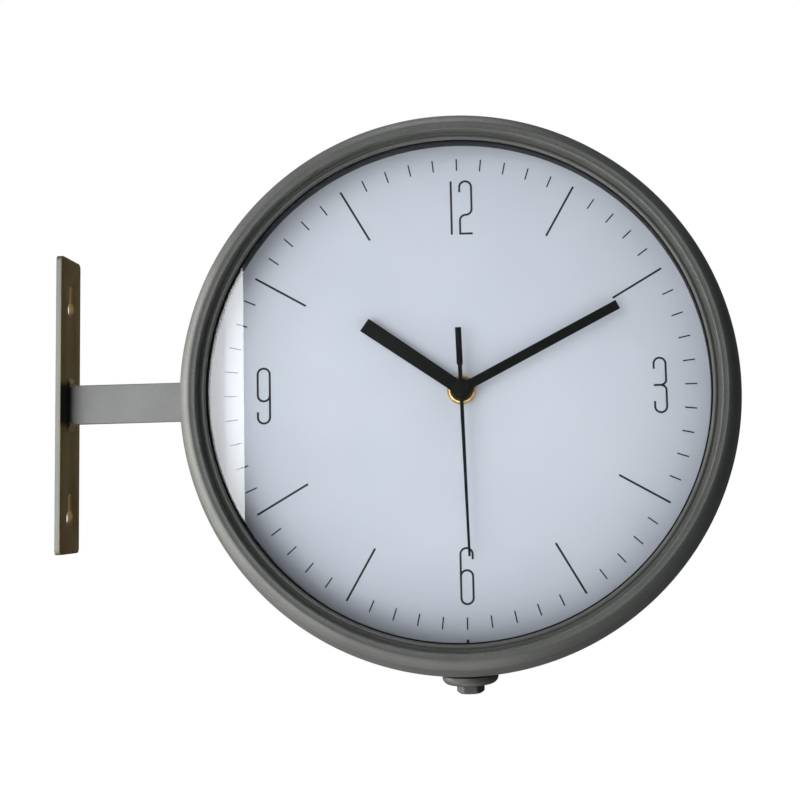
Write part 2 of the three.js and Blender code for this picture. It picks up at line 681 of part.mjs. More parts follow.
function rubberWasher() {
  return ring(overBush, RUBBER_RADIUS, [rubberBack, rubberBack + RUBBER_THICKNESS], SHAFT_SIDES);
}

function brassWasher() {
  return ring(overBush, BRASS_WASHER_RADIUS, [washerBack, washerBack + BRASS_WASHER_THICKNESS], NUT_SIDES);
}

// A round nut with a rolled edge.
function brassNut() {
  const roll = arc([BRASS_NUT_RADIUS - BRASS_NUT_ROLL, nutBack + BRASS_NUT_EDGE],
    [BRASS_NUT_ROLL, BRASS_NUT_HEIGHT - BRASS_NUT_EDGE], 0, 110, 3);
  return turned([[overBush, nutBack], [BRASS_NUT_RADIUS, nutBack], ...roll,
    [overBush, nutBack + BRASS_NUT_HEIGHT - BRASS_NUT_DISH]], NUT_SIDES);
}

function battery() {
  const can = new THREE.CylinderGeometry(BATTERY_RADIUS, BATTERY_RADIUS, BATTERY_LENGTH, NUT_SIDES);
  const nub = new THREE.CylinderGeometry(BATTERY_NUB_RADIUS, BATTERY_NUB_RADIUS, 2 * BATTERY_NUB,
    SHAFT_SIDES);
  const place = (bar, x) => solid(bar.rotateZ(Math.PI / 2).translate(x, -batteryOut, batteryZ));
  return joined(place(can, -BATTERY_NUB / 2), place(nub, (BATTERY_LENGTH - BATTERY_NUB) / 2));
}

function batteryContact(side) {
  const wallX = insideHalf - SEAT_GAP;
  const half = CONTACT_SIDE / 2;
  const outer = side * wallX;
  const inner = side * (wallX - CONTACT_THICKNESS);
  const leaf = outBlock([Math.min(outer, inner), Math.max(outer, inner)],
    [batteryOut - half, batteryOut + half], [batteryZ - half, batteryZ + half]);
  const button = new THREE.CylinderGeometry(CONTACT_TIP_RADIUS, CONTACT_ROOT_RADIUS,
    CONTACT_SPRING + BITE, SHAFT_SIDES).rotateZ(side * Math.PI / 2);
  const buttonX = inner - side * (CONTACT_SPRING - BITE) / 2;
  return leaf.add(solid(button.translate(buttonX, -batteryOut, batteryZ)));
}

// The stator plate with its eye round the rotor, and the coil wound on its upper limb.
function driveCoil() {
  const eyeRadius = (ROTOR_MAGNET_RADIUS + ROTOR_AIR_GAP) / shaftShrink;
  const low = rotorAxis[1] - eyeRadius - STATOR_RIM;
  const high = insideHalf - SEAT_GAP;
  const statorFront = statorBack + STATOR_THICKNESS;
  const plate = outBlock([-STATOR_HALF, STATOR_HALF], [statorBack, statorFront], [low, high]);
  const eye = outBar(rotorAxis, eyeRadius, [statorBack - CUT_PAST, statorFront + CUT_PAST]);
  const coil = new THREE.CylinderGeometry(COIL_RADIUS, COIL_RADIUS, COIL_LENGTH, SHAFT_SIDES);
  coil.rotateZ(Math.PI / 2).translate(0, -(statorBack + statorFront) / 2, high - COIL_RADIUS);
  return plate.subtract(eye).add(solid(coil));
}

function rotor() {
  return joined(
    outBar(rotorAxis, ARBOR_RADIUS, [arborBack, magnetFront + LAYER_GAP]),
    drivingPinion(rotorAxis, ROTOR_LEAVES, TRAIN_MODULE, intermediateAxis, rotorPinionBack),
    outBar(rotorAxis, ROTOR_MAGNET_RADIUS, [magnetBack, magnetFront]),
  );
}

function intermediateWheel() {
  const pinionFront = secondBack + GEAR_THICKNESS + MESH_OVERLAP;
  return joined(
    outBar(intermediateAxis, ARBOR_RADIUS, [arborBack, pinionFront + LAYER_GAP]),
    meshingWheel(intermediateAxis, INTERMEDIATE_TEETH, TRAIN_MODULE, rotorAxis, intermediateBack),
    drivingPinion(intermediateAxis, INTERMEDIATE_LEAVES, TRAIN_MODULE, centreAxis,
      intermediateBack + GEAR_THICKNESS - BITE, pinionFront),
  );
}

// The arbor runs out through both pipes to the cap of the second hand.
function secondWheel() {
  return joined(
    outBar(centreAxis, ARBOR_RADIUS, [arborBack, secondHandBack + HAND_COLLAR]),
    meshingWheel(centreAxis, SECOND_TEETH, TRAIN_MODULE, intermediateAxis, secondBack),
    drivingPinion(centreAxis, SECOND_LEAVES, TRAIN_MODULE, thirdAxis, secondPinionBack),
  );
}

function thirdWheel() {
  return joined(
    outBar(thirdAxis, ARBOR_RADIUS, [arborBack, thirdPinionBack + pinionLength + LAYER_GAP]),
    meshingWheel(thirdAxis, THIRD_TEETH, TRAIN_MODULE, centreAxis, thirdBack),
    drivingPinion(thirdAxis, THIRD_LEAVES, centreModule, centreAxis, thirdPinionBack),
  );
}

// The centre wheel carries the minute pipe round by friction.
function centreWheel() {
  const wheel = meshingWheel(centreAxis, CENTRE_TEETH, centreModule, thirdAxis, centreBack);
  const bore = (minutePipeOuter + RUNNING_GAP) / shaftShrink;
  return wheel.subtract(outBar(centreAxis, bore, [centreBack - CUT_PAST,
    centreBack + GEAR_THICKNESS + CUT_PAST]));
}

function minutePipe() {
  const front = minuteHandBack + HAND_COLLAR + PIPE_PROUD;
  const leaves = drivingPinion(centreAxis, MINUTE_LEAVES, MOTION_MODULE, settingAxis, minutePinionBack);
  const pipe = outBar(centreAxis, minutePipeOuter, [minutePipeBack, front]);
  const bore = outBar(centreAxis, minutePipeInner, [minutePipeBack - CUT_PAST, front + CUT_PAST]);
  return leaves.add(pipe).subtract(bore);
}

// The setting wheel's arbor runs out through the cover to the knob at the back of the movement.
function settingWheel() {
  const knobFront = movementBack - SEAT_GAP;
  const pinionFront = settingPinionBack + pinionLength;
  return joined(
    outBar(settingAxis, SETTING_ARBOR_RADIUS, [knobFront - BITE, pinionFront + LAYER_GAP]),
    outBar(settingAxis, KNOB_RADIUS, [knobFront - KNOB_THICKNESS, knobFront], NUT_SIDES),
    meshingWheel(settingAxis, SETTING_TEETH, MOTION_MODULE, centreAxis, settingBack),
    drivingPinion(settingAxis, SETTING_LEAVES, hourModule, centreAxis, settingPinionBack),
  );
}

function hourWheel() {
  const front = hourHandBack + HAND_COLLAR + PIPE_PROUD;
  const wheel = meshingWheel(centreAxis, HOUR_TEETH, hourModule, settingAxis, hourBack);
  const pipe = outBar(centreAxis, hourPipeOuter, [hourBack, front]);
  const bore = outBar(centreAxis, hourPipeInner, [hourBack - CUT_PAST, front + CUT_PAST]);
  return wheel.add(pipe).subtract(bore);
}

// ---- hands, drawn pointing to twelve ----
function taperedBar([fromZ, fromWidth], [toZ, toWidth]) {
  return outlineOf([[-fromWidth / 2, fromZ], [fromWidth / 2, fromZ], [toWidth / 2, toZ],
    [-toWidth / 2, toZ]]);
}

function pipeHand(back, length, rootWidth, tipWidth, hubRadius, pipeRadius) {
  const sheet = [back, back + HAND_SHEET];
  const blade = outSheet(taperedBar([0, rootWidth], [length, tipWidth]), sheet);
  const front = back + HAND_COLLAR;
  const hub = outBar(centreAxis, hubRadius, [back, front], NUT_SIDES);
  const fit = (pipeRadius + SEAT_GAP) / shaftShrink;
  const bore = outBar(centreAxis, fit, [back - CUT_PAST, front + CUT_PAST]);
  return joined(blade, hub).subtract(bore);
}

function secondHand() {
  const back = secondHandBack;
  const sheet = [back, back + HAND_SHEET];
  const tip = [SECOND_LENGTH, SECOND_TIP_WIDTH];
  const neckEnd = [-SECOND_NECK - BITE, SECOND_NECK_WIDTH];
  const tailEnd = [-SECOND_TAIL, SECOND_TAIL_WIDTH];
  return joined(
    outSheet(taperedBar([0, SECOND_ROOT_WIDTH], tip), sheet),
    outSheet(taperedBar(neckEnd, [0, SECOND_NECK_WIDTH]), sheet),
    outSheet(taperedBar(tailEnd, [-SECOND_NECK, SECOND_TAIL_WIDTH]), sheet),
    outBar(centreAxis, SECOND_HUB_RADIUS, [back, back + SECOND_CAP_HEIGHT], NUT_SIDES),
  ).subtract(outBar(centreAxis, (ARBOR_RADIUS + SEAT_GAP) / shaftShrink,
    [back - CUT_PAST, back + HAND_COLLAR + SEAT_GAP]));
}

function hand(name, shape, degrees) {
  const mesh = pieceOf(name, shape, handBlack);
  mesh.rotation.y = THREE.MathUtils.degToRad(degrees);
  return mesh;
}

// ---- assembly ----
function dialUnit(side) {
  const unit = new THREE.Group();
  const add = (name, shape, material) => unit.add(pieceOf(`${side}_${name}`, shape, material));
  add('bezel', bezel(), casePaint);
  add('gasket', gasket(), blackRubber);
  add('glass', glass(), clearGlass);
  add('spacer_ring', spacerRing(), blackPlastic);
  add('dial', dial(), dialPaint);
  add('dial_retainer', dialRetainer(), zincSteel);
  add('movement_case', movementCase(), blackPlastic);
  add('movement_cover', movementCover(), blackPlastic);
  add('rubber_washer', rubberWasher(), blackRubber);
  add('brass_washer', brassWasher(), brass);
  add('brass_nut', brassNut(), brass);
  add('battery', battery(), batteryWrap);
  add('battery_contact_pos', batteryContact(1), zincSteel);
  add('battery_contact_neg', batteryContact(-1), zincSteel);
  add('drive_coil', driveCoil(), copperWire);
  add('rotor', rotor(), zincSteel);
  add('intermediate_wheel', intermediateWheel(), whiteNylon);
  add('second_wheel', secondWheel(), whiteNylon);
  add('third_wheel', thirdWheel(), whiteNylon);
  add('centre_wheel', centreWheel(), whiteNylon);
  add('minute_pipe', minutePipe(), whiteNylon);
  add('setting_wheel', settingWheel(), whiteNylon);
  add('hour_wheel', hourWheel(), whiteNylon);
  const hourShape = pipeHand(hourHandBack, HOUR_LENGTH, HOUR_ROOT_WIDTH, HOUR_TIP_WIDTH,
    HOUR_HUB_RADIUS, hourPipeOuter);
  const minuteShape = pipeHand(minuteHandBack, MINUTE_LENGTH, MINUTE_ROOT_WIDTH, MINUTE_TIP_WIDTH,
    MINUTE_HUB_RADIUS, minutePipeOuter);
  unit.add(hand(`${side}_hour_hand`, hourShape, HOUR_HAND_DEGREES));
  unit.add(hand(`${side}_minute_hand`, minuteShape, MINUTE_HAND_DEGREES));
  unit.add(hand(`${side}_second_hand`, secondHand(), SECOND_HAND_DEGREES));
  unit.position.x = clockX;
  return unit;
}

function caseGroup() {
  const group = new THREE.Group();
  group.add(pieceOf('case_drum', caseDrum(), casePaint));
  group.add(pieceOf('centre_bridge', centreBridge(), zincSteel));
  group.add(pieceOf('cup_washer', cupWasher(), casePaint));
  group.add(pieceOf('cup_bolt', cupBolt(), casePaint));
  group.position.x = clockX;
  return group;
}

const clock = new THREE.Group();
clock.add(pieceOf('wall_plate', wallPlate(), platePaint));
clock.add(pieceOf('bracket_arm', bracketArm(), armPaint));
clock.add(pieceOf('arm_bolt_outer', armBolt(armBoltCentres()[0]), zincSteel));
clock.add(pieceOf('arm_bolt_inner', armBolt(armBoltCentres()[1]), zincSteel));
clock.add(caseGroup());
clock.add(dialUnit('front'));
const rearUnit = dialUnit('rear');
rearUnit.rotation.z = Math.PI;
clock.add(rearUnit);

export default clock;
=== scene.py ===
"""Double sided station clock on a wall bracket: the finished look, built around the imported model.

The frame is that of the CAD model: the origin is the middle of the wall plate's back face, +X
points away from the wall, +Z is up, and the front dial faces -Y. Lengths are in metres, and from
the case drum on profiles are in millimetres.
"""

import bmesh
import bpy
import numpy as np
from mathutils import Matrix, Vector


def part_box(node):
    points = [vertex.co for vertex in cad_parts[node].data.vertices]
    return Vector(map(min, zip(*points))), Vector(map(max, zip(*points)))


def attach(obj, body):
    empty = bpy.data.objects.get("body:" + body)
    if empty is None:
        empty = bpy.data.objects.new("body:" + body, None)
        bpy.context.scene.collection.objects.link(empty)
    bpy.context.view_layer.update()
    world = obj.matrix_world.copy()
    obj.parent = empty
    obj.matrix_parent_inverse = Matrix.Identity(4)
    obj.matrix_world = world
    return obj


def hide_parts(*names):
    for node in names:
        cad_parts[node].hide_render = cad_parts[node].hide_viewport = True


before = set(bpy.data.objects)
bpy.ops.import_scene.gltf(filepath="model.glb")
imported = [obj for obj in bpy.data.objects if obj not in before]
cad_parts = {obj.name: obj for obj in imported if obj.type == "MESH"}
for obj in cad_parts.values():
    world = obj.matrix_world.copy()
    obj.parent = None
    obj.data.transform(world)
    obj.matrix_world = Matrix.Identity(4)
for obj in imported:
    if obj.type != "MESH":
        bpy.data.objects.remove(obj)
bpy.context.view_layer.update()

MM = 0.001
scene = bpy.context.scene


# ---- camera ----
# A phone held about 0.62 m in front of the dial, a little below its middle and to its right,
# tilted up. The frame is cropped to a square, which leaves a small sideways shift of the lens.
CAMERA_PLACE = (0.2392, -0.6454, -0.0563)
CAMERA_TURN = (95.396, 1.707, -0.980)      # degrees about X, Y and Z
CAMERA_LENS = 53.325                       # mm on a 36 mm sensor
CAMERA_SHIFT = (-0.16125, -0.02)

lens = bpy.data.cameras.new("photo_camera")
lens.sensor_width = 36
lens.lens = CAMERA_LENS
lens.shift_x, lens.shift_y = CAMERA_SHIFT
lens.clip_start = 0.01
camera = bpy.data.objects.new("photo_camera", lens)
camera.location = CAMERA_PLACE
camera.rotation_euler = np.radians(CAMERA_TURN)
scene.collection.objects.link(camera)
scene.camera = camera


# ---- studio ----
# A white surround and a tall window to the left of the camera, brighter along its right edge, which
# shows in the glass. Softer lights from the left, above and below draw the rounded rims.
CLOCK_X = 0.2162
CLOCK_MIDDLE = (CLOCK_X, 0.0, 0.0)
BRACKET_FOOT = (0.0, 0.0, 0.0)
ROOM_WHITE = (1.0, 1.0, 1.0, 1)
ROOM_SHADE = (0.86, 0.92, 1.0, 1)
ROOM_STRENGTH = 0.07

scene.view_settings.view_transform = "Standard"

room = bpy.data.worlds.new("white_room")
room.use_nodes = True
room.node_tree.nodes.clear()
seen = room.node_tree.nodes.new("ShaderNodeBackground")
seen.inputs["Color"].default_value = ROOM_WHITE
lit = room.node_tree.nodes.new("ShaderNodeBackground")
lit.inputs["Color"].default_value = ROOM_SHADE
lit.inputs["Strength"].default_value = ROOM_STRENGTH
ray = room.node_tree.nodes.new("ShaderNodeLightPath")
either = room.node_tree.nodes.new("ShaderNodeMixShader")
sky = room.node_tree.nodes.new("ShaderNodeOutputWorld")
room.node_tree.links.new(ray.outputs["Is Camera Ray"], either.inputs[0])
room.node_tree.links.new(lit.outputs[0], either.inputs[1])
room.node_tree.links.new(seen.outputs[0], either.inputs[2])
room.node_tree.links.new(either.outputs[0], sky.inputs["Surface"])
scene.world = room


def softbox(name, centre, aim, size, radiance, colour):
    """A rectangular light of the given radiance, which faces from its centre towards aim."""
    light = bpy.data.lights.new(name, "AREA")
    light.shape = "RECTANGLE"
    light.size, light.size_y = size
    light.energy = radiance * np.pi * size[0] * size[1]
    light.color = colour
    lamp = bpy.data.objects.new(name, light)
    ahead = np.subtract(aim, centre) / np.linalg.norm(np.subtract(aim, centre))
    right = np.cross(ahead, (0, 0, 1)) / np.linalg.norm(np.cross(ahead, (0, 0, 1)))
    turn = np.eye(4)
    turn[:3, 0], turn[:3, 1], turn[:3, 2], turn[:3, 3] = right, np.cross(right, ahead), -ahead, centre
    lamp.matrix_world = Matrix(turn.tolist())
    lamp.visible_camera = False
    scene.collection.objects.link(lamp)
    return lamp


softbox("window", (-0.528, -0.9, 0.02), (-0.528, 0.0, 0.02), (0.888, 1.1), 2.3, (0.96, 0.98, 1.0))
softbox("window_bar", (-0.123, -0.899, 0.0), (-0.123, 0.0, 0.0), (0.034, 0.9), 3.8, (1.0, 1.0, 1.0))
softbox("window_edge", (-0.095, -0.899, 0.0), (-0.095, 0.0, 0.0), (0.022, 0.9), 5.2, (1.0, 1.0, 1.0))
softbox("low_left", (-0.55, -0.25, -0.75), CLOCK_MIDDLE, (0.7, 0.7), 2.6, (1.0, 0.99, 0.96))
softbox("front_low", (0.0, -0.9, -0.68), BRACKET_FOOT, (0.8, 0.5), 0.9, (1.0, 1.0, 1.0))
softbox("left", (-0.75, -0.2, 0.1), CLOCK_MIDDLE, (0.5, 0.7), 1.4, (1.0, 0.99, 0.97))
softbox("side_left", (-0.7, 0.1, 0.0), CLOCK_MIDDLE, (0.5, 1.0), 4.2, (1.0, 0.99, 0.97))
softbox("overhead", (0.1, 0.0, 1.1), CLOCK_MIDDLE, (0.8, 0.6), 2.0, (0.99, 0.99, 1.0))
softbox("underneath", (0.1, 0.0, -1.1), CLOCK_MIDDLE, (0.8, 0.6), 1.3, (1.0, 0.99, 0.97))
back_fill = softbox("back_fill", (0.55, 1.6, 0.4), BRACKET_FOOT, (1.2, 1.2), 3.8, (0.98, 0.99, 1.0))
back_fill.visible_glossy = False


# ---- wall plate ----
# A strip of 3 mm steel with rounded corners and two keyholes, in a bronze lacquer. Its long edges are
# coloured a paler zinc grey, and in front of the arm the face has a near-black painted shadow of the arm.
PLATE_EDGE = 0.45 * MM
PLATE_CORNER = 2.6 * MM
KEYHOLE_HEAD = 4.6 * MM
KEYHOLE_SLOT = 2.4 * MM
KEYHOLE_TRAVEL = 11.0 * MM
KEYHOLE_LOW = -60.9 * MM
KEYHOLE_HIGH = 52.1 * MM
BRONZE_DARK = (0.170, 0.114, 0.042, 1)
BRONZE_PALE = (0.225, 0.157, 0.062, 1)
PAINTED_ARM_SHADOW = (0.006, 0.005, 0.004, 1)
EDGE_ZINC_GREY = (0.27, 0.27, 0.24, 1)


def closed(mesh):
    """Merges the points that meet at seams and poles, and turns every face outwards."""
    shell = bmesh.new()
    shell.from_mesh(mesh)
    bmesh.ops.remove_doubles(shell, verts=shell.verts, dist=1e-6)
    bmesh.ops.dissolve_degenerate(shell, edges=shell.edges, dist=1e-7)
    bmesh.ops.recalc_face_normals(shell, faces=shell.faces)
    shell.to_mesh(mesh)
    shell.free()
    return mesh


def ellipse(centre, reach, start, end, steps):
    """Points centre + (a cos u, b sin u) for u from start to end, in degrees."""
    u = np.radians(np.linspace(start, end, steps + 1))
    return np.asarray(centre) + np.c_[reach[0] * np.cos(u), reach[1] * np.sin(u)]


def eased(corners, reach, steps=5):
    """A closed outline with its corners rounded.

    At each corner C the outline leaves one side at A and joins the next at B, each reach away from
    C, along the cubic (1-t)^3 A + 3(1-t)^2 t P + 3(1-t)t^2 Q + t^3 B, where P and Q lie 0.55 of the
    way from A and B to C, which is close to an arc.
    """
    corners = np.asarray(corners, float)
    to_last = np.roll(corners, 1, axis=0) - corners
    to_next = np.roll(corners, -1, axis=0) - corners
    a = corners + to_last / np.linalg.norm(to_last, axis=1, keepdims=True) * reach
    b = corners + to_next / np.linalg.norm(to_next, axis=1, keepdims=True) * reach
    p = a + 0.55 * (corners - a)
    q = b + 0.55 * (corners - b)
    t = np.linspace(0, 1, steps + 1)[None, :, None]
    a, b, p, q = a[:, None], b[:, None], p[:, None], q[:, None]
    curve = (1 - t) ** 3 * a + 3 * (1 - t) ** 2 * t * p + 3 * (1 - t) * t ** 2 * q + t ** 3 * b
    return curve.reshape(-1, 2)


def taken_from(piece):
    """The final mesh of an object in the scene, with its modifiers applied. The object goes."""
    depsgraph = bpy.context.evaluated_depsgraph_get()
    mesh = bpy.data.meshes.new_from_object(piece.evaluated_get(depsgraph))
    bpy.data.objects.remove(piece)
    return mesh


def stamped(name, outlines, thickness, edge):
    """A flat sheet cut to closed outlines, the first its rim and the others its holes, with its
    edges rounded over. It lies in the XY plane with its middle at z = 0, and isn't placed yet."""
    flat = bpy.data.curves.new(name, "CURVE")
    flat.dimensions = "2D"
    flat.fill_mode = "BOTH"
    flat.extrude = thickness / 2
    for outline in outlines:
        spline = flat.splines.new("POLY")
        count = len(outline)
        spline.points.add(count - 1)
        spline.points.foreach_set("co", np.c_[outline, np.zeros(count), np.ones(count)].ravel())
        spline.use_cyclic_u = True
    sheet = bpy.data.objects.new(name, flat)
    scene.collection.objects.link(sheet)
    blank = bpy.data.objects.new(name, closed(taken_from(sheet)))
    scene.collection.objects.link(blank)
    rounding = blank.modifiers.new("rounding", "BEVEL")
    rounding.width = edge
    rounding.segments = 3
    rounding.angle_limit = np.radians(50)
    return taken_from(blank)


def shown(name, mesh, finish, body, slot, *nodes, crease=35):
    """Puts a finished mesh in the scene: smooth but for edges sharper than crease degrees, in its
    finish, riding on its body and standing for its CAD nodes."""
    piece = bpy.data.objects.new(name, mesh)
    scene.collection.objects.link(piece)
    mesh.materials.clear()
    mesh.materials.append(finish.material)
    mesh.shade_smooth()
    mesh.set_sharp_from_angle(angle=np.radians(crease))
    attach(piece, body)
    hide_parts(*nodes)
    return piece


class Wire:
    """A value in a material's node tree, so that node maths reads as a formula."""

    def __init__(self, paint, socket):
        self.paint, self.socket = paint, socket

    def math(self, operation, *values):
        node = self.paint.tree.nodes.new("ShaderNodeMath")
        node.operation = operation
        for place, value in zip(node.inputs, values):
            self.paint.feed(place, value)
        return Wire(self.paint, node.outputs[0])

    def __add__(self, other):
        return self.math("ADD", self, other)

    __radd__ = __add__

    def __mul__(self, other):
        return self.math("MULTIPLY", self, other)

    __rmul__ = __mul__

    def __sub__(self, other):
        return self.math("SUBTRACT", self, other)

    def __rsub__(self, other):
        return self.math("SUBTRACT", other, self)

    def __abs__(self):
        return self.math("ABSOLUTE", self)

    def steps(self, low, high):
        """0 below low, 1 above high, and a smooth rise between them."""
        ranged = self.paint.node("ShaderNodeMapRange", {"interpolation_type": "SMOOTHSTEP"},
                                 {"Value": self, "From Min": low, "From Max": high})
        return ranged["Result"]


class Paint:
    """A material on Blender's Principled shader, with the few node kinds that the finishes use."""

    def __init__(self, name, **constants):
        self.material = bpy.data.materials.new(name)
        self.material.use_nodes = True
        self.tree = self.material.node_tree
        self.shader = self.tree.nodes["Principled BSDF"]
        for socket, value in constants.items():
            self.shader.inputs[socket.replace("_", " ")].default_value = value
        self.where = self.node("ShaderNodeTexCoord")["Object"]

    def feed(self, place, value):
        if isinstance(value, Wire):
            self.tree.links.new(value.socket, place)
        else:
            place.default_value = value

    def node(self, kind, settings=(), sockets=()):
        """One node of a kind: its settings first, then the values or links of its sockets. Its
        outputs come back by name."""
        made = self.tree.nodes.new(kind)
        for name, value in dict(settings).items():
            setattr(made, name, value)
        for name, value in dict(sockets).items():
            self.feed(made.inputs[name], value)
        return {out.name: Wire(self, out) for out in made.outputs if out.enabled}

    def noise(self, size, detail=2.0, place=None):
        """Soft noise from 0 to 1 with features of about this size in metres."""
        sockets = {"Vector": place or self.where, "Scale": 1 / size, "Detail": detail}
        return self.node("ShaderNodeTexNoise", {}, sockets)["Fac"]

    def stretched(self, x, y, z):
        """Object coordinates scaled along each axis, for grain that runs one way."""
        return self.node("ShaderNodeMapping", {}, {"Vector": self.where, "Scale": (x, y, z)})["Vector"]

    def axis(self):
        """The three object coordinates, as values in metres."""
        split = self.node("ShaderNodeSeparateXYZ", {}, {"Vector": self.where})
        return split["X"], split["Y"], split["Z"]

    def blend(self, share, low, high):
        """A colour between low and high."""
        mix = self.tree.nodes.new("ShaderNodeMix")
        mix.data_type = "RGBA"
        self.feed(mix.inputs[0], share)
        self.feed(mix.inputs[6], low)
        self.feed(mix.inputs[7], high)
        return Wire(self, mix.outputs[2])

    def coat(self, socket, value):
        self.feed(self.shader.inputs[socket], value)

    def relief(self, height, depth):
        """Bumps of this depth in metres where height goes from 0 to 1."""
        bump = self.node("ShaderNodeBump", {}, {"Height": height, "Distance": depth, "Strength": 1.0})
        self.coat("Normal", bump["Normal"])


def keyhole(z):
    """Outline of a keyhole as (y, z): a head of radius R, and a slot of half width w that leaves it
    at the angle whose sine is w / R and ends in a half circle."""
    spread = np.degrees(np.arcsin(KEYHOLE_SLOT / KEYHOLE_HEAD))
    head = ellipse((0, z), (KEYHOLE_HEAD,) * 2, 90 + spread, 450 - spread, 40)
    end = ellipse((0, z + KEYHOLE_TRAVEL), (KEYHOLE_SLOT,) * 2, 0, 180, 16)
    return np.vstack([head, end])


plate_low, plate_high = (np.array(corner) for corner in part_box("wall_plate"))
y, z = plate_high[1], plate_high[2]
rim = eased([(-y, -z), (y, -z), (y, z), (-y, z)], PLATE_CORNER)
plate_sheet = stamped("wall_plate_steel", [rim, keyhole(KEYHOLE_LOW), keyhole(KEYHOLE_HIGH)],
                      plate_high[0] - plate_low[0], PLATE_EDGE)
# the flat drawing's x and y become y and z, and its thickness becomes x
plate_sheet.transform(Matrix(((0, 0, 1, (plate_low[0] + plate_high[0]) / 2), (1, 0, 0, 0),
                              (0, 1, 0, 0), (0, 0, 0, 1))))

lacquer = Paint("bronze_lacquer", Specular_IOR_Level=0.15)
x, y, z = lacquer.axis()
grain = lacquer.noise(0.5 * MM, 2.0)
cloud = lacquer.noise(18 * MM, 3.0)
bronze = lacquer.blend((grain * 0.5 + cloud * 0.5).steps(0.3, 0.7), BRONZE_DARK, BRONZE_PALE)
# Painted shadow: the face in front of the arm, at the arm's height, is darkened almost to black as the arm's
# shade.
arm_shadow_mask = (1 - abs(z).steps(9.0 * MM, 13.0 * MM)) * (1 - y.steps(-3.0 * MM, 1.0 * MM))
bronze = lacquer.blend(arm_shadow_mask * 0.93, bronze, PAINTED_ARM_SHADOW)
# The long edges, up to the rounding of the face towards the clock, are coloured a paler zinc grey, a little
# more metallic and less rough.
along_edges = (abs(y) + 0.6 * MM * (cloud - 0.5)).steps(13.45 * MM, 13.75 * MM)
pale_edge_mask = along_edges * (1 - x.steps(2.5 * MM, 2.8 * MM))
lacquer.coat("Base Color", lacquer.blend(pale_edge_mask, bronze, EDGE_ZINC_GREY))
lacquer.coat("Metallic", 0.35 + 0.15 * pale_edge_mask)
lacquer.coat("Roughness", 0.42 - 0.08 * pale_edge_mask + 0.08 * cloud)
lacquer.relief(grain, 0.03 * MM)
shown("wall_plate_steel", plate_sheet, lacquer, "root", "plate_paint", "wall_plate")


# ---- bracket arm ----
# A flat bar with its long edges eased, welded to the plate by a hollow bead above and below. The
# bar is painted grey; the beads keep the bronze lacquer of the plate.
ARM_HALF_HEIGHT = 10.6 * MM
ARM_HALF = 1.75 * MM
ARM_EDGE = 0.5 * MM
ARM_END_EDGE = 0.3 * MM
WELD_LEG = 5.0 * MM
WELD_HALF = 4.25 * MM
WELD_ROOT = 1.0 * MM
ARM_DARK = (0.205, 0.207, 0.198, 1)
ARM_PALE = (0.270, 0.272, 0.262, 1)
WELD_DARK = (0.26, 0.19, 0.09, 1)
WELD_PALE = (0.46, 0.36, 0.20, 1)


def skin(name, points, around=False, along=False):
    """A mesh over a grid of points of shape (rows, columns, 3).

    Each face joins point (i, j) to (i + 1, j), (i + 1, j + 1) and (i, j + 1). With around the last
    row meets the first, and with along the last column meets the first.
    """
    rows, columns = points.shape[:2]
    index = np.arange(rows * columns).reshape(rows, columns)
    index = np.vstack([index, index[:1]]) if around else index
    index = np.hstack([index, index[:, :1]]) if along else index
    faces = np.stack([index[:-1, :-1], index[1:, :-1], index[1:, 1:], index[:-1, 1:]], axis=-1)
    mesh = bpy.data.meshes.new(name)
    mesh.from_pydata(points.reshape(-1, 3).tolist(), [], faces.reshape(-1, 4).tolist())
    return closed(mesh)


def capped(rows):
    """The rows of a grid with a point at the middle of the first and last one put before and after
    them, which closes both ends."""
    middles = rows[[0, -1]].mean(axis=1, keepdims=True) * np.ones((1, rows.shape[1], 1))
    return np.concatenate([middles[:1], rows, middles[1:]])


def bar_along_x(name, section, start, end, edge):
    """A section of (y, z) carried from start to end along x, with both ends rounded over: the
    section shrinks towards its middle by 1 - sqrt(1 - s^2) of the edge over the last s of it."""
    s = np.linspace(0, 1, 5)
    inset = edge * (1 - np.sqrt(1 - s ** 2))
    x = np.r_[start, start + edge * (1 - s[::-1]), end - edge * (1 - s), end]
    shrink = np.r_[inset[-1], inset[::-1], inset, inset[-1]]
    middle = section.mean(axis=0)
    away = section - middle
    length = np.linalg.norm(away, axis=1, keepdims=True)
    rows = middle + away[None] * (1 - shrink[:, None, None] / length[None])
    rows[0], rows[-1] = middle, middle
    points = np.concatenate([np.broadcast_to(x[:, None, None], rows.shape[:2] + (1,)), rows], axis=2)
    return skin(name, points, along=True)


def weld_bead(side):
    """A bead along the arm's edge, with its foot on the plate and a hollow face that is a quarter of
    an ellipse, 0.8 as tall as it is long.

    At v of its half width both legs are drawn in to sqrt(1 - (0.8 v)^4) of their length. The half
    width is the arm's at the end of the leg and flares to the weld's at the plate, by (1 - x / leg)^2
    at x from the plate.
    """
    u = np.linspace(0, 1, 13)
    v = np.linspace(-1, 1, 33)[:, None]
    x0, z0 = arm_low[0], ARM_HALF_HEIGHT
    pull = np.sqrt(np.clip(1 - (0.8 * v) ** 4, 0, 1))
    hollow_x = x0 + WELD_LEG * (1 - np.cos(u * np.pi / 2)[::-1])[None] * pull
    hollow_z = z0 + 0.8 * WELD_LEG * (1 - np.sin(u * np.pi / 2)[::-1])[None] * pull
    root_x = np.broadcast_to([[x0 + WELD_ROOT, x0]], (len(v), 2))
    root_z = np.broadcast_to([[z0 - WELD_ROOT, z0 - WELD_ROOT]], (len(v), 2))
    xs, zs = np.hstack([hollow_x, root_x]), np.hstack([hollow_z, root_z])
    half = ARM_HALF + (WELD_HALF - ARM_HALF) * (1 - (xs - x0) / WELD_LEG) ** 2
    return skin("bead", capped(np.stack([xs, v * half, side * zs], axis=-1)), along=True)


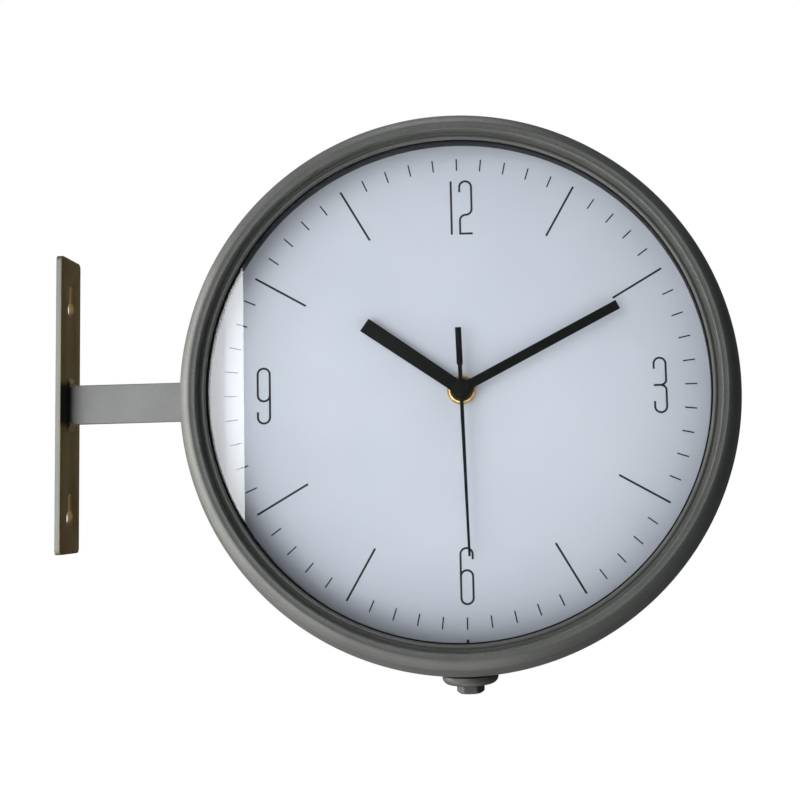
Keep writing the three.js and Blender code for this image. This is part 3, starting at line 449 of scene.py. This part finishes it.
def powder_coat(name, dark, pale, metal, gloss):
    """Satin powder coat: fine speckle of two greys, a faint cloudiness, and orange-peel bumps."""
    paint = Paint(name, Metallic=metal, Coat_Weight=0.05, Coat_Roughness=0.3)
    speckle = paint.noise(0.45 * MM, 1.0)
    cloud = paint.noise(24 * MM, 2.0)
    share = (speckle * 0.75 + cloud * 0.25).steps(0.34, 0.66)
    paint.coat("Base Color", paint.blend(share, dark, pale))
    paint.coat("Roughness", gloss + 0.10 * paint.noise(9 * MM, 3.0))
    paint.relief(paint.noise(1.1 * MM, 2.0) * 0.8 + speckle * 0.2, 0.05 * MM)
    return paint


arm_low, arm_high = (np.array(corner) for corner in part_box("bracket_arm"))
bar_section = eased([(-ARM_HALF, -ARM_HALF_HEIGHT), (ARM_HALF, -ARM_HALF_HEIGHT),
                     (ARM_HALF, ARM_HALF_HEIGHT), (-ARM_HALF, ARM_HALF_HEIGHT)], ARM_EDGE)
arm_bar = bar_along_x("arm_bar", bar_section, arm_low[0], arm_high[0], ARM_END_EDGE)
arm_paint = powder_coat("arm_grey_paint", ARM_DARK, ARM_PALE, 0.3, 0.36)
shown("arm_bar", arm_bar, arm_paint, "root", "arm_paint", "bracket_arm")

bead_lacquer = Paint("weld_lacquer", Metallic=0.45, Coat_Weight=0.3, Coat_Roughness=0.2)
ripple = bead_lacquer.noise(1.2 * MM, 2.0)
bead_lacquer.coat("Base Color", bead_lacquer.blend(ripple.steps(0.3, 0.7), WELD_DARK, WELD_PALE))
bead_lacquer.coat("Roughness", 0.32 + 0.12 * ripple)
bead_lacquer.relief(ripple, 0.12 * MM)
for label, side in (("upper", 1), ("lower", -1)):
    shown(f"{label}_weld_bead", weld_bead(side), bead_lacquer, "root", "plate_paint")


# ---- case drum ----
# A deep round case rolled from 1.2 mm sheet and painted grey: a flat band round the middle, and on
# each side a shoulder down to the mouth that takes a bezel. The arm goes in through a slot.
CASE_RADIUS = 150.0
CASE_SHEET = 1.2
CASE_BAND_HALF = 14.0
SHOULDER_RISE = 8.1
SHOULDER_BULGE = 0.45
SHOULDER_BEND = 5.0
DRUM_MOUTH = 43.5
SLOT_START = CLOCK_X - 0.152
SLOT_END = CLOCK_X - 0.140
SLOT_GAP = 0.3 * MM
STUD_HOLE = 4.45
CASE_DARK = (0.132, 0.136, 0.126, 1)
CASE_PALE = (0.205, 0.210, 0.197, 1)


def unit_place(side, x, out, z):
    """Points of a dial unit: x to the right and z up as that dial is read, out towards the reader,
    in millimetres. The rear unit is the front one turned half round about the vertical."""
    return np.stack(np.broadcast_arrays(CLOCK_X + side * x * MM, -side * out * MM, z * MM), axis=-1)


def turned(name, side, profile, segments=288):
    """A closed profile of (radius, out) turned round the axis of a dial: (r cos u, out, r sin u)."""
    u = np.linspace(0, 2 * np.pi, segments, endpoint=False)[:, None]
    r, out = profile[None, :, 0], profile[None, :, 1]
    return skin(name, unit_place(side, r * np.cos(u), out, r * np.sin(u)), around=True, along=True)


def upright(name, profile, segments):
    """A profile of (radius, drop) turned round the vertical through the clock's middle, with drop
    in millimetres below it: (r cos u, r sin u, -drop)."""
    u = np.linspace(0, 2 * np.pi, segments, endpoint=False)[:, None]
    r, drop = profile[None, :, 0] * MM, profile[None, :, 1] * MM
    points = np.stack([CLOCK_X + r * np.cos(u), r * np.sin(u), -drop * np.ones_like(u)], axis=-1)
    return skin(name, points, around=True, along=True)


def slab(x, y, z):
    """A plain block between two values on each axis."""
    ends = [[(a, y[0], z[0]), (a, y[1], z[0]), (a, y[1], z[1]), (a, y[0], z[1])] for a in x]
    return skin("slab", capped(np.array(ends)), along=True)


def joined(operation, mesh, others):
    """The exact union or difference of a closed mesh and others."""
    whole = bpy.data.objects.new("whole", mesh)
    scene.collection.objects.link(whole)
    helpers = [bpy.data.objects.new("helper", other) for other in others]
    for helper in helpers:
        scene.collection.objects.link(helper)
        step = whole.modifiers.new("step", "BOOLEAN")
        step.solver = "EXACT"
        step.operation = operation
        step.object = helper
    result = taken_from(whole)
    for helper in helpers:
        bpy.data.objects.remove(helper)
    return result


def drum_profile():
    """Closed profile of (radius, out): on each side a cone from the band to the mouth, outside at
    the case radius and inside one sheet less.

    With d the distance past the band's edge and w the bend, the share of the fall is
    d / 2 + sqrt(d^2 + w^2) / 2, scaled to run from 0 to 1. At f of the fall the cone swells by
    4 f (1 - f) of its bulge.
    """
    out = np.linspace(0, DRUM_MOUTH, 41)
    past = out - CASE_BAND_HALF
    fall = past / 2 + np.sqrt(past ** 2 + SHOULDER_BEND ** 2) / 2
    fall = (fall - fall[0]) / (fall[-1] - fall[0])
    radius = CASE_RADIUS - SHOULDER_RISE * fall + SHOULDER_BULGE * 4 * fall * (1 - fall)
    quarter = np.c_[radius, out]
    outside = np.vstack([quarter[:0:-1] * (1, -1), quarter])
    return np.vstack([outside, outside[::-1] - (CASE_SHEET, 0)])


case_paint = powder_coat("case_grey_paint", CASE_DARK, CASE_PALE, 0.12, 0.40)
drum = turned("case_drum_sheet", 1, drum_profile())
arm_slot = slab((SLOT_START, SLOT_END), (-ARM_HALF - SLOT_GAP, ARM_HALF + SLOT_GAP),
                (-ARM_HALF_HEIGHT - SLOT_GAP, ARM_HALF_HEIGHT + SLOT_GAP))
stud_hole = upright("stud_hole", np.array([(0, 140), (STUD_HOLE, 140), (STUD_HOLE, 155), (0, 155)]), 24)
shown("case_drum_sheet", joined("DIFFERENCE", drum, [arm_slot, stud_hole]), case_paint, "root",
      "case_paint", "case_drum")


# ---- cup washer and bolt under the case ----
# A pressed cup washer with a rolled rim and a sunk seat, and the chamfered hexagon bolt that ties
# the drum to the bridge inside. Both have the case's grey paint, coloured darker here as painted shade under
# the drum.
CUP_RADIUS = 15.0
CUP_TOP = 150.3
CUP_RIM = 155.0
HEAD_CORNER = 13.0 / np.sqrt(3)
HEAD_UNDER = 155.6
HEAD_END = 159.8
SHANK_RADIUS = 4.0
SHANK_END = 134.0
FITTING_SHADED_DARK = (0.090, 0.092, 0.080, 1)
FITTING_SHADED_PALE = (0.136, 0.138, 0.122, 1)

# Painted shade: the case's grey made darker, for the shade under the drum.
fitting_shaded_paint = powder_coat("fitting_shaded_grey_paint", FITTING_SHADED_DARK, FITTING_SHADED_PALE, 0.12, 0.40)

washer_profile = np.vstack([
    [(STUD_HOLE, CUP_TOP), (CUP_RADIUS - 0.1, CUP_TOP)],
    ellipse((CUP_RADIUS - 4.4, CUP_RIM - 3.9), (4.4, 3.9), 0, 90, 10),
    ellipse((CUP_RADIUS - 4.4, CUP_RIM - 0.9), (0.9, 0.9), 100, 200, 6),
    [(9.2, 152.9), (8.7, 152.7), (8.2, 152.9), (8.0, 155.0), (7.7, 155.3), (STUD_HOLE, 155.3)],
])
shown("cup_washer_pressing", upright("cup_washer_pressing", washer_profile, 96), fitting_shaded_paint, "root",
      "case_paint", "cup_washer")


def hexagon_head():
    """A hexagon bar with its corners rounded, whose end is turned to a cone: the radius is the
    hexagon's, but near the end no more than a circle that shrinks as it drops."""
    u = np.linspace(0, 2 * np.pi, 96, endpoint=False)[:, None]
    flats = HEAD_CORNER * np.cos(np.pi / 6)
    to_flat = (u + np.pi / 6) % (np.pi / 3) - np.pi / 6
    hexagon = np.minimum(flats / np.cos(to_flat), HEAD_CORNER - 0.12)
    # each ring's drop and the most its radius may be
    rings = np.array([(HEAD_UNDER, 0), (HEAD_UNDER, 7.1), (HEAD_UNDER + 0.3, 9), (HEAD_END - 1.5, 9),
                      (HEAD_END - 1.1, 7.3), (HEAD_END - 0.7, 6.75), (HEAD_END - 0.3, 6.2),
                      (HEAD_END, 5.7), (HEAD_END, 0)])
    r = np.minimum(hexagon, rings[None, :, 1]) * MM
    drop = rings[None, :, 0] * MM * np.ones_like(u)
    points = np.stack([CLOCK_X + r * np.cos(u + np.pi / 6), r * np.sin(u + np.pi / 6), -drop], axis=-1)
    return skin("cup_bolt_head", points, around=True)


shank_profile = np.array([(0, SHANK_END), (SHANK_RADIUS - 0.4, SHANK_END), (SHANK_RADIUS, SHANK_END + 0.5),
                          (SHANK_RADIUS, HEAD_UNDER + 0.3), (0, HEAD_UNDER + 0.3)])
cup_bolt = joined("UNION", hexagon_head(), [upright("shank", shank_profile, 32)])
shown("cup_bolt_steel", cup_bolt, fitting_shaded_paint, "root", "case_paint", "cup_bolt", crease=28)


# ---- bezels ----
# A pressed ring in the case's paint, a friction fit in the mouth of the drum. The front and rear
# dial units are alike: distances out are from the middle plane of the case towards the reader, and
# radii are from the middle of the dial, all in millimetres.
SIDES = (("front", 1), ("rear", -1))
MOUTH = CASE_RADIUS - SHOULDER_RISE
SLOPE_WIDTH = 5.7
BEAD_TOP = MOUTH - SLOPE_WIDTH
BEAD_FOOT = 44.1
BEAD_CREST = 50.0
LIP_INNER = 129.2
LIP_BACK = 42.7
HEM_BACK = 43.8
SKIRT_RADIUS = 140.4
SKIRT_INNER = 139.5
SKIRT_END = 30.8


def bezel_profile():
    """Pressed sheet: a rolled lip over the glass, a groove, a bead with a steep step inside it, a
    shallow band up to a narrow crest and a long outer slope, a hem that closes on the drum's mouth,
    and behind it a straight skirt that grips inside the drum.

    At s of the way down the outer slope the drop is s^1.5 of the whole, so that it is flat at the
    crest and nearly straight below.
    """
    lip = ellipse((LIP_INNER + 1.05, LIP_BACK + 1.2), (1.05, 1.2), 200, 50, 10)
    step = ellipse((BEAD_TOP - 2.5, BEAD_FOOT + 4.7), (0.7, 0.9), 175, 80, 8)
    crest = ellipse((BEAD_TOP, BEAD_CREST - 0.6), (0.6, 0.6), 115, 90, 4)
    s = np.linspace(0.04, 1, 24)
    slope = np.c_[BEAD_TOP + SLOPE_WIDTH * s, BEAD_CREST - (BEAD_CREST - BEAD_FOOT) * s ** 1.5]
    bead = np.vstack([[(BEAD_TOP - 3.7, BEAD_FOOT)], step, crest, slope])
    hem = [(MOUTH - 0.05, HEM_BACK + 0.1), (MOUTH - 0.3, HEM_BACK), (SKIRT_RADIUS + 0.2, HEM_BACK),
           (SKIRT_RADIUS, HEM_BACK - 0.3), (SKIRT_RADIUS, SKIRT_END + 0.3),
           (SKIRT_RADIUS - 0.2, SKIRT_END), (SKIRT_INNER, SKIRT_END), (SKIRT_INNER, HEM_BACK + 0.9)]
    hollow = ellipse((BEAD_TOP + 0.2, BEAD_FOOT), (2.2, 3.0), 30, 165, 14)
    back = [(LIP_INNER + 4.2, LIP_BACK), (LIP_INNER + 0.1, LIP_BACK)]
    return np.vstack([lip, [(LIP_INNER + 2.6, 43.95)], bead, hem, hollow, back])


for label, side in SIDES:
    shown(f"{label}_bezel_pressing", turned("bezel", side, bezel_profile()), case_paint, f"{label}_unit",
          "case_paint", f"{label}_bezel", crease=45)


# ---- gaskets ----
# A flat ring of black rubber between the bezel's lip and the glass. From the front only its inner
# edge shows, as a thin line inside the lip.
GASKET_INNER = 128.6
GASKET_BACK = 41.6
GASKET_FRONT = 42.4
GLASS_RADIUS = 131.9

rubber = Paint("black_rubber_sheet", Specular_IOR_Level=0.1)
pores = rubber.noise(0.3 * MM, 2.0)
rubber.coat("Base Color", rubber.blend(pores, (0.008, 0.008, 0.009, 1), (0.022, 0.022, 0.024, 1)))
rubber.coat("Roughness", 0.6 + 0.2 * pores)
rubber.relief(pores, 0.02 * MM)


def flat_ring(inner, outer, back, front, edge):
    """Closed profile of a ring or washer with eased edges."""
    return eased([(inner, back), (outer, back), (outer, front), (inner, front)], edge, 3)


gasket_profile = flat_ring(GASKET_INNER, GLASS_RADIUS, GASKET_BACK, GASKET_FRONT, 0.25)
for label, side in SIDES:
    shown(f"{label}_gasket_ring", turned("gasket", side, gasket_profile), rubber, f"{label}_unit",
          "black_rubber", f"{label}_gasket")


# ---- glasses ----
# A plain disc of 2 mm float glass with ground edges, held between the gasket and the spacer ring.
# It casts no shadow, so that the dial behind it is lit as through real glass.
GLASS_BACK = 39.3
GLASS_FRONT = 41.3
GLASS_BEVEL = 0.3

glass_clear = Paint("clear_glass", Transmission_Weight=1.0, IOR=1.46)
smear = glass_clear.noise(30 * MM, 3.0)
glass_clear.coat("Base Color", glass_clear.blend(smear, (0.965, 0.985, 0.98, 1), (0.99, 1.0, 0.995, 1)))
glass_clear.coat("Roughness", 0.006 * smear.steps(0.45, 0.75))

pane_profile = np.array([(0, GLASS_BACK), (GLASS_RADIUS - GLASS_BEVEL, GLASS_BACK),
                         (GLASS_RADIUS, GLASS_BACK + GLASS_BEVEL), (GLASS_RADIUS, GLASS_FRONT - GLASS_BEVEL),
                         (GLASS_RADIUS - GLASS_BEVEL, GLASS_FRONT), (0, GLASS_FRONT)])
for label, side in SIDES:
    glass = shown(f"{label}_glass_pane", turned("glass", side, pane_profile, 192), glass_clear,
                  f"{label}_unit", "glass", f"{label}_glass")
    glass.visible_shadow = False


# ---- spacer rings ----
# A thin wall of black plastic that keeps the glass off the hands. A small lug at its foot, as dull
# a black as the hands, keys the dial upright.
SPACER_INNER = 131.0
SPACER_OUTER = 132.0
SPACER_BACK = 25.3
SPACER_FRONT = 39.0
LUG_THICKNESS = 1.2
LUG_OUTLINE = ((-0.8, -131.5), (0.8, -131.5), (0.45, -128.8), (-0.45, -128.8))

black_plastic = Paint("moulded_black_plastic", Specular_IOR_Level=0.2)
texture = black_plastic.noise(0.4 * MM, 2.0)
black_plastic.coat("Base Color", black_plastic.blend(texture, (0.010, 0.010, 0.011, 1),
                                                     (0.020, 0.020, 0.022, 1)))
black_plastic.coat("Roughness", 0.45 + 0.2 * texture)
black_plastic.relief(texture, 0.015 * MM)

hand_black = Paint("hand_black_lacquer", Specular_IOR_Level=0.1)
mottle = hand_black.noise(0.5 * MM, 2.0)
hand_black.coat("Base Color", hand_black.blend(mottle, (0.0030, 0.0032, 0.0030, 1),
                                               (0.0055, 0.0058, 0.0052, 1)))
hand_black.coat("Roughness", 0.42 + 0.14 * mottle)
hand_black.relief(mottle, 0.012 * MM)


def stood_up(mesh, side, degrees, back, thickness):
    """Stands a flat stamping, drawn pointing up, in front of its dial and turns it clockwise."""
    u = np.radians(degrees)
    # the drawing's x, y and thickness become x to the right, out, and z up
    flat = np.array([(np.cos(u), np.sin(u), 0, 0), (0, 0, 1, 0), (-np.sin(u), np.cos(u), 0, 0),
                     (0, 0, 0, 1)])
    stand = np.array([(side * MM, 0, 0, CLOCK_X), (0, -side * MM, 0, -side * (back + thickness / 2) * MM),
                      (0, 0, MM, 0), (0, 0, 0, 1)])
    mesh.transform(Matrix((stand @ flat).tolist()))
    return closed(mesh)


spacer_profile = flat_ring(SPACER_INNER, SPACER_OUTER, SPACER_BACK, SPACER_FRONT, 0.2)
for label, side in SIDES:
    shown(f"{label}_spacer_wall", turned("spacer", side, spacer_profile), black_plastic, f"{label}_unit",
          "black_plastic", f"{label}_spacer_ring")
    lug = stamped("lug", [eased(LUG_OUTLINE, 0.25, 3)], LUG_THICKNESS, 0.15)
    shown(f"{label}_dial_lug", stood_up(lug, side, 0, SPACER_BACK, LUG_THICKNESS), hand_black,
          f"{label}_unit", "black_plastic")


# ---- dials ----
# A thin white card with a hole for the bush, printed in black with minute strokes, longer strokes at
# eight of the hours, and four narrow numerals.
DIAL_RADIUS = 133.2
DIAL_HOLE = 3.4
DIAL_BACK = 24.2
DIAL_FACE = 25.0
STROKE_END = 124.0
MINUTE_STROKE = (117.6, 0.72)              # where it starts, and its width
HOUR_STROKE = (93.5, 1.1)
NUMERAL_LINE = 1.1
NUMERAL_BEND = 3.15
FLAT_BEND = 2.6
PRINT_SUNK = 0.01
PRINT_PROUD = 0.05

dial_white = Paint("dial_white_print", Specular_IOR_Level=0.25)
fibre = dial_white.noise(0.35 * MM, 3.0)
tone = dial_white.noise(45 * MM, 1.0)
dial_white.coat("Base Color", dial_white.blend((fibre * 0.5 + tone * 0.5).steps(0.25, 0.75),
                                               (0.645, 0.675, 0.765, 1), (0.690, 0.720, 0.805, 1)))
dial_white.coat("Roughness", 0.55 + 0.1 * fibre)
dial_white.relief(fibre, 0.006 * MM)

ink = Paint("dial_black_ink", Specular_IOR_Level=0.35)
press = ink.noise(0.25 * MM, 2.0)
ink.coat("Base Color", ink.blend(press, (0.010, 0.008, 0.013, 1), (0.022, 0.018, 0.026, 1)))
ink.coat("Roughness", 0.5 + 0.15 * press)


def bend(x, z, start, end, tall=NUMERAL_BEND):
    """Part of a numeral: an arc about (x, z) as wide as every numeral's bends."""
    return ellipse((x, z), (NUMERAL_BEND, tall), start, end, 20)


def dial_print():
    """Centre lines of (x, z) of the printed marks, with the width of each: sixty strokes along the
    radii, and the numerals 12, 3, 6 and 9 drawn with one line of even width."""
    lines = []
    for minute in range(60):
        hour_line = minute % 5 == 0 and minute % 15 != 0
        start, width = HOUR_STROKE if hour_line else MINUTE_STROKE
        u = np.radians(6 * minute)
        lines.append((np.outer((start, STROKE_END), (np.sin(u), np.cos(u))), width))
    one = [[(-3.25, 111.9), (-3.25, 83.0)]]
    two = [[(1.25, 105.9)], bend(4.4, 108.6, 180, 0), bend(4.4, 96.75, 0, -90), bend(4.4, 90.45, 90, 180),
           [(1.25, 83.45), (7.9, 83.45)]]
    three_top = [[(101.3, 8.4)], bend(104.45, 11.05, 180, 0), bend(104.45, 2.4, 0, -90, FLAT_BEND),
                 [(101.0, -0.2)]]
    three_low = [[(104.3, -0.2)], bend(104.45, -2.8, 90, 0, FLAT_BEND), bend(104.45, -11.45, 0, -180),
                 [(101.3, -8.6)]]
    six = [[(3.5, -88.1)], bend(0.35, -85.35, 0, 180), bend(0.35, -107.75, 180, 360),
           bend(0.35, -96.75, 0, 180)]
    nine = [[(-106.6, -8.6)], bend(-103.45, -11.45, 180, 360), bend(-103.45, 11.05, 0, 180),
            bend(-103.45, 0.15, 180, 360)]
    for numeral in (one, two, three_top, three_low, six, nine):
        lines.append((np.vstack(numeral), NUMERAL_LINE))
    return lines


def stroke_strip(line, width, back, front):
    """A flat line of ink: a rectangular section carried along a centre line, square at both ends.

    At each point the section lies across the mean direction of the two sides that meet there, and
    is widened by one over the cosine of half the turn, so that its edges stay parallel.
    """
    step = np.diff(line, axis=0)
    line = line[np.r_[True, np.linalg.norm(step, axis=1) > 1e-6]]
    step = np.diff(line, axis=0)
    step /= np.linalg.norm(step, axis=1, keepdims=True)
    ahead, behind = np.vstack([step, step[-1:]]), np.vstack([step[:1], step])
    mean = ahead + behind
    mean /= np.linalg.norm(mean, axis=1, keepdims=True)
    across = np.c_[-mean[:, 1], mean[:, 0]] / np.sum(mean * ahead, axis=1)[:, None]
    left, right = line + across * width / 2, line - across * width / 2
    face, under = np.full(len(line), front), np.full(len(line), back)
    rows = [np.c_[left, face], np.c_[right, face], np.c_[right, under], np.c_[left, under]]
    return capped(np.stack(rows, axis=1))


def print_mesh(name, side):
    """All strokes of a dial in one mesh, a few hundredths of a millimetre proud of its face."""
    whole = bmesh.new()
    for line, width in dial_print():
        strip = stroke_strip(line, width, DIAL_FACE - PRINT_SUNK, DIAL_FACE + PRINT_PROUD)
        part = skin("strip", unit_place(side, strip[..., 0], strip[..., 2], strip[..., 1]), along=True)
        whole.from_mesh(part)
        bpy.data.meshes.remove(part)
    mesh = bpy.data.meshes.new(name)
    whole.to_mesh(mesh)
    whole.free()
    return mesh


card_profile = flat_ring(DIAL_HOLE, DIAL_RADIUS, DIAL_BACK, DIAL_FACE, 0.08)
for label, side in SIDES:
    shown(f"{label}_dial_card", turned("dial", side, card_profile, 192), dial_white, f"{label}_unit",
          "dial_white", f"{label}_dial")
    shown(f"{label}_dial_print", print_mesh(f"{label}_dial_print", side), ink, f"{label}_unit",
          "hand_black")


# ---- brass washers and nuts ----
# A thin washer and a turned round nut with a rolled rim, which clamp the movement to the dial. The
# hands' pipes come out through the bore of the nut.
NUT_BORE = 3.6
WASHER_RADIUS = 7.2
WASHER_BACK = 25.3
WASHER_FRONT = 25.8
NUT_BACK = 26.1

brass = Paint("turned_brass", Metallic=1.0)
lathe_mark = brass.noise(0.12 * MM, 1.0, brass.stretched(1, 6, 1))
tarnish = brass.noise(2.4 * MM, 3.0)
brass.coat("Base Color", brass.blend(tarnish.steps(0.35, 0.75), (0.86, 0.62, 0.27, 1),
                                     (0.55, 0.34, 0.12, 1)))
brass.coat("Roughness", 0.16 + 0.12 * tarnish + 0.05 * lathe_mark)
brass.relief(lathe_mark, 0.004 * MM)

brass_washer_profile = flat_ring(NUT_BORE, WASHER_RADIUS, WASHER_BACK, WASHER_FRONT, 0.12)
nut_profile = np.vstack([ellipse((6.1, 26.5), (1.6, 2.4), 0, 100, 16),
                         [(5.0, 28.7), (4.4, 28.6), (NUT_BORE, 28.55), (NUT_BORE, NUT_BACK),
                          (7.5, NUT_BACK)]])
for label, side in SIDES:
    shown(f"{label}_brass_washer_disc", turned("washer", side, brass_washer_profile, 96), brass,
          f"{label}_unit", "brass", f"{label}_brass_washer")
    shown(f"{label}_brass_nut_turned", turned("nut", side, nut_profile, 96), brass, f"{label}_unit",
          "brass", f"{label}_brass_nut")


# ---- hands ----
# Black stampings of 0.6 mm sheet, pressed on their pipes by a collar. The second hand has a stepped
# cap in place of a collar.
HAND_SHEET = 0.6
HAND_EDGE = 0.1
HOUR_BACK = 29.8
MINUTE_BACK = 32.1
SECOND_BACK = 34.4
HOUR_DEGREES = 305.25
MINUTE_DEGREES = 63.0
SECOND_DEGREES = 178.5
# back, degrees, hub radius, width at root and tip, length, and the collar's two radii
PIPE_HANDS = {"hour": (HOUR_BACK, HOUR_DEGREES, 4.9, 7.0, 7.9, 61.0, 2.9, 3.9),
              "minute": (MINUTE_BACK, MINUTE_DEGREES, 4.6, 5.0, 5.0, 93.0, 1.95, 3.0)}


def hand_outline(hub, root, tip, length):
    """A hub circle with a blade that leaves it at half width root / 2 and ends square."""
    leave = np.degrees(np.arcsin(root / 2 / hub))
    circle = ellipse((0, 0), (hub, hub), 90 + leave, 450 - leave, 48)
    return np.vstack([circle, [(tip / 2, length), (-tip / 2, length)]])


def second_outline():
    """A thin tapered blade, a hub, a narrow neck and a wider tail."""
    hub = 4.5
    up, down = np.degrees(np.arcsin(1.0 / hub)), np.degrees(np.arcsin(1.05 / hub))
    left = ellipse((0, 0), (hub, hub), 90 + up, 270 - down, 20)
    right = ellipse((0, 0), (hub, hub), 270 + down, 450 - up, 20)
    tail = [(-1.05, -12.0), (-1.6, -12.9), (-1.6, -32.0), (1.6, -32.0), (1.6, -12.9), (1.05, -12.0)]
    return np.vstack([left, tail, right, [(0.62, 86.0), (-0.62, 86.0)]])


cap_profile = np.vstack([[(0, 34.42), (4.5, 34.42)], ellipse((4.35, 34.75), (0.35, 0.35), -60, 90, 5),
                         [(3.5, 35.12)], ellipse((2.95, 35.75), (0.5, 0.55), 0, 90, 6), [(0, 36.3)]])
for label, side in SIDES:
    for kind, (back, degrees, hub, root, tip, length, bore, collar_radius) in PIPE_HANDS.items():
        blade = stamped(kind, [hand_outline(hub, root, tip, length)], HAND_SHEET, HAND_EDGE)
        blade = stood_up(blade, side, degrees, back, HAND_SHEET)
        collar_profile = flat_ring(bore, collar_radius, back + 0.1, back + 1.2, 0.12)
        stamping = joined("UNION", blade, [turned("collar", side, collar_profile, 64)])
        shown(f"{label}_{kind}_hand_stamping", stamping, hand_black, f"{label}_{kind}s", "hand_black",
              f"{label}_{kind}_hand")
    blade = stamped("second", [second_outline()], HAND_SHEET, HAND_EDGE)
    blade = stood_up(blade, side, SECOND_DEGREES, SECOND_BACK, HAND_SHEET)
    stamping = joined("UNION", blade, [turned("cap", side, cap_profile, 96)])
    shown(f"{label}_second_hand_stamping", stamping, hand_black, f"{label}_seconds", "hand_black",
          f"{label}_second_hand")


# ---- what closes inside the case ----
# The bridge, bolts, retainer rings and the two movements show only when a unit is pulled off. They
# stay as the CAD model has them and get the finish of their material.
SLEEVE_HALF = 16 * MM

zinc = Paint("zinc_plated_steel", Metallic=0.9)
spangle = zinc.noise(3 * MM, 2.0)
zinc.coat("Base Color", zinc.blend(spangle, (0.42, 0.43, 0.44, 1), (0.62, 0.63, 0.64, 1)))
zinc.coat("Roughness", 0.28 + 0.18 * spangle)
zinc.relief(zinc.noise(0.4 * MM, 2.0), 0.01 * MM)

nylon = Paint("moulded_nylon", Specular_IOR_Level=0.45)
flow = nylon.noise(2 * MM, 2.0)
nylon.coat("Base Color", nylon.blend(flow, (0.74, 0.72, 0.62, 1), (0.82, 0.80, 0.71, 1)))
nylon.coat("Roughness", 0.4 + 0.15 * flow)

copper = Paint("enamelled_copper_wire", Metallic=0.8)
turns = copper.node("ShaderNodeTexWave", {"wave_type": "BANDS", "bands_direction": "X"},
                    {"Vector": copper.where, "Scale": 420.0})["Fac"]
copper.coat("Base Color", copper.blend(turns, (0.30, 0.10, 0.035, 1), (0.55, 0.22, 0.08, 1)))
copper.coat("Roughness", 0.3 + 0.1 * turns)
copper.relief(turns, 0.06 * MM)

wrap = Paint("battery_sleeve", Coat_Weight=0.3, Coat_Roughness=0.15)
from_middle = abs(wrap.axis()[0] - CLOCK_X)
bare_end = from_middle.steps(SLEEVE_HALF, SLEEVE_HALF + 0.3 * MM)
scuff = wrap.noise(4 * MM, 3.0)
wrap.coat("Base Color", wrap.blend(bare_end, (0.035, 0.085, 0.14, 1), (0.45, 0.45, 0.46, 1)))
wrap.coat("Metallic", 0.2 + 0.6 * bare_end)
wrap.coat("Roughness", 0.3 + 0.15 * scuff)

unit_insides = {
    "dial_retainer": zinc, "movement_case": black_plastic, "movement_cover": black_plastic,
    "rubber_washer": rubber, "battery": wrap, "battery_contact_pos": zinc, "battery_contact_neg": zinc,
    "drive_coil": copper, "rotor": zinc, "intermediate_wheel": nylon, "second_wheel": nylon,
    "third_wheel": nylon, "centre_wheel": nylon, "minute_pipe": nylon, "setting_wheel": nylon,
    "hour_wheel": nylon,
}
insides = {"centre_bridge": zinc, "arm_bolt_outer": zinc, "arm_bolt_inner": zinc}
for label, side in SIDES:
    insides |= {f"{label}_{node}": finish for node, finish in unit_insides.items()}
for node, finish in insides.items():
    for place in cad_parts[node].material_slots:
        place.material = finish.material


# ---- floor ----
# A pale plain floor, far enough below the clock to show no edge or hard shadow. It glows a little,
# so that it is as white as the room, and it adds nothing to the clock's own light.
FLOOR_DROP = -1.6
FLOOR_HALF = 8.0
FLOOR_PALE = (0.9, 0.9, 0.9, 1)
FLOOR_GLOW = 1.1

floor_mesh = bpy.data.meshes.new("floor")
floor_mesh.from_pydata([(-FLOOR_HALF, -FLOOR_HALF, FLOOR_DROP), (FLOOR_HALF, -FLOOR_HALF, FLOOR_DROP),
                        (FLOOR_HALF, FLOOR_HALF, FLOOR_DROP), (-FLOOR_HALF, FLOOR_HALF, FLOOR_DROP)],
                       [], [(0, 1, 2, 3)])
floor = bpy.data.objects.new("floor", floor_mesh)
scene.collection.objects.link(floor)
pale = Paint("pale_floor", Roughness=0.9, Emission_Color=FLOOR_PALE, Emission_Strength=FLOOR_GLOW)
pale.coat("Base Color", pale.blend(pale.noise(0.6, 2.0), (0.88, 0.88, 0.88, 1), (0.92, 0.92, 0.92, 1)))
floor_mesh.materials.append(pale.material)
floor.visible_diffuse = False
floor.visible_glossy = False
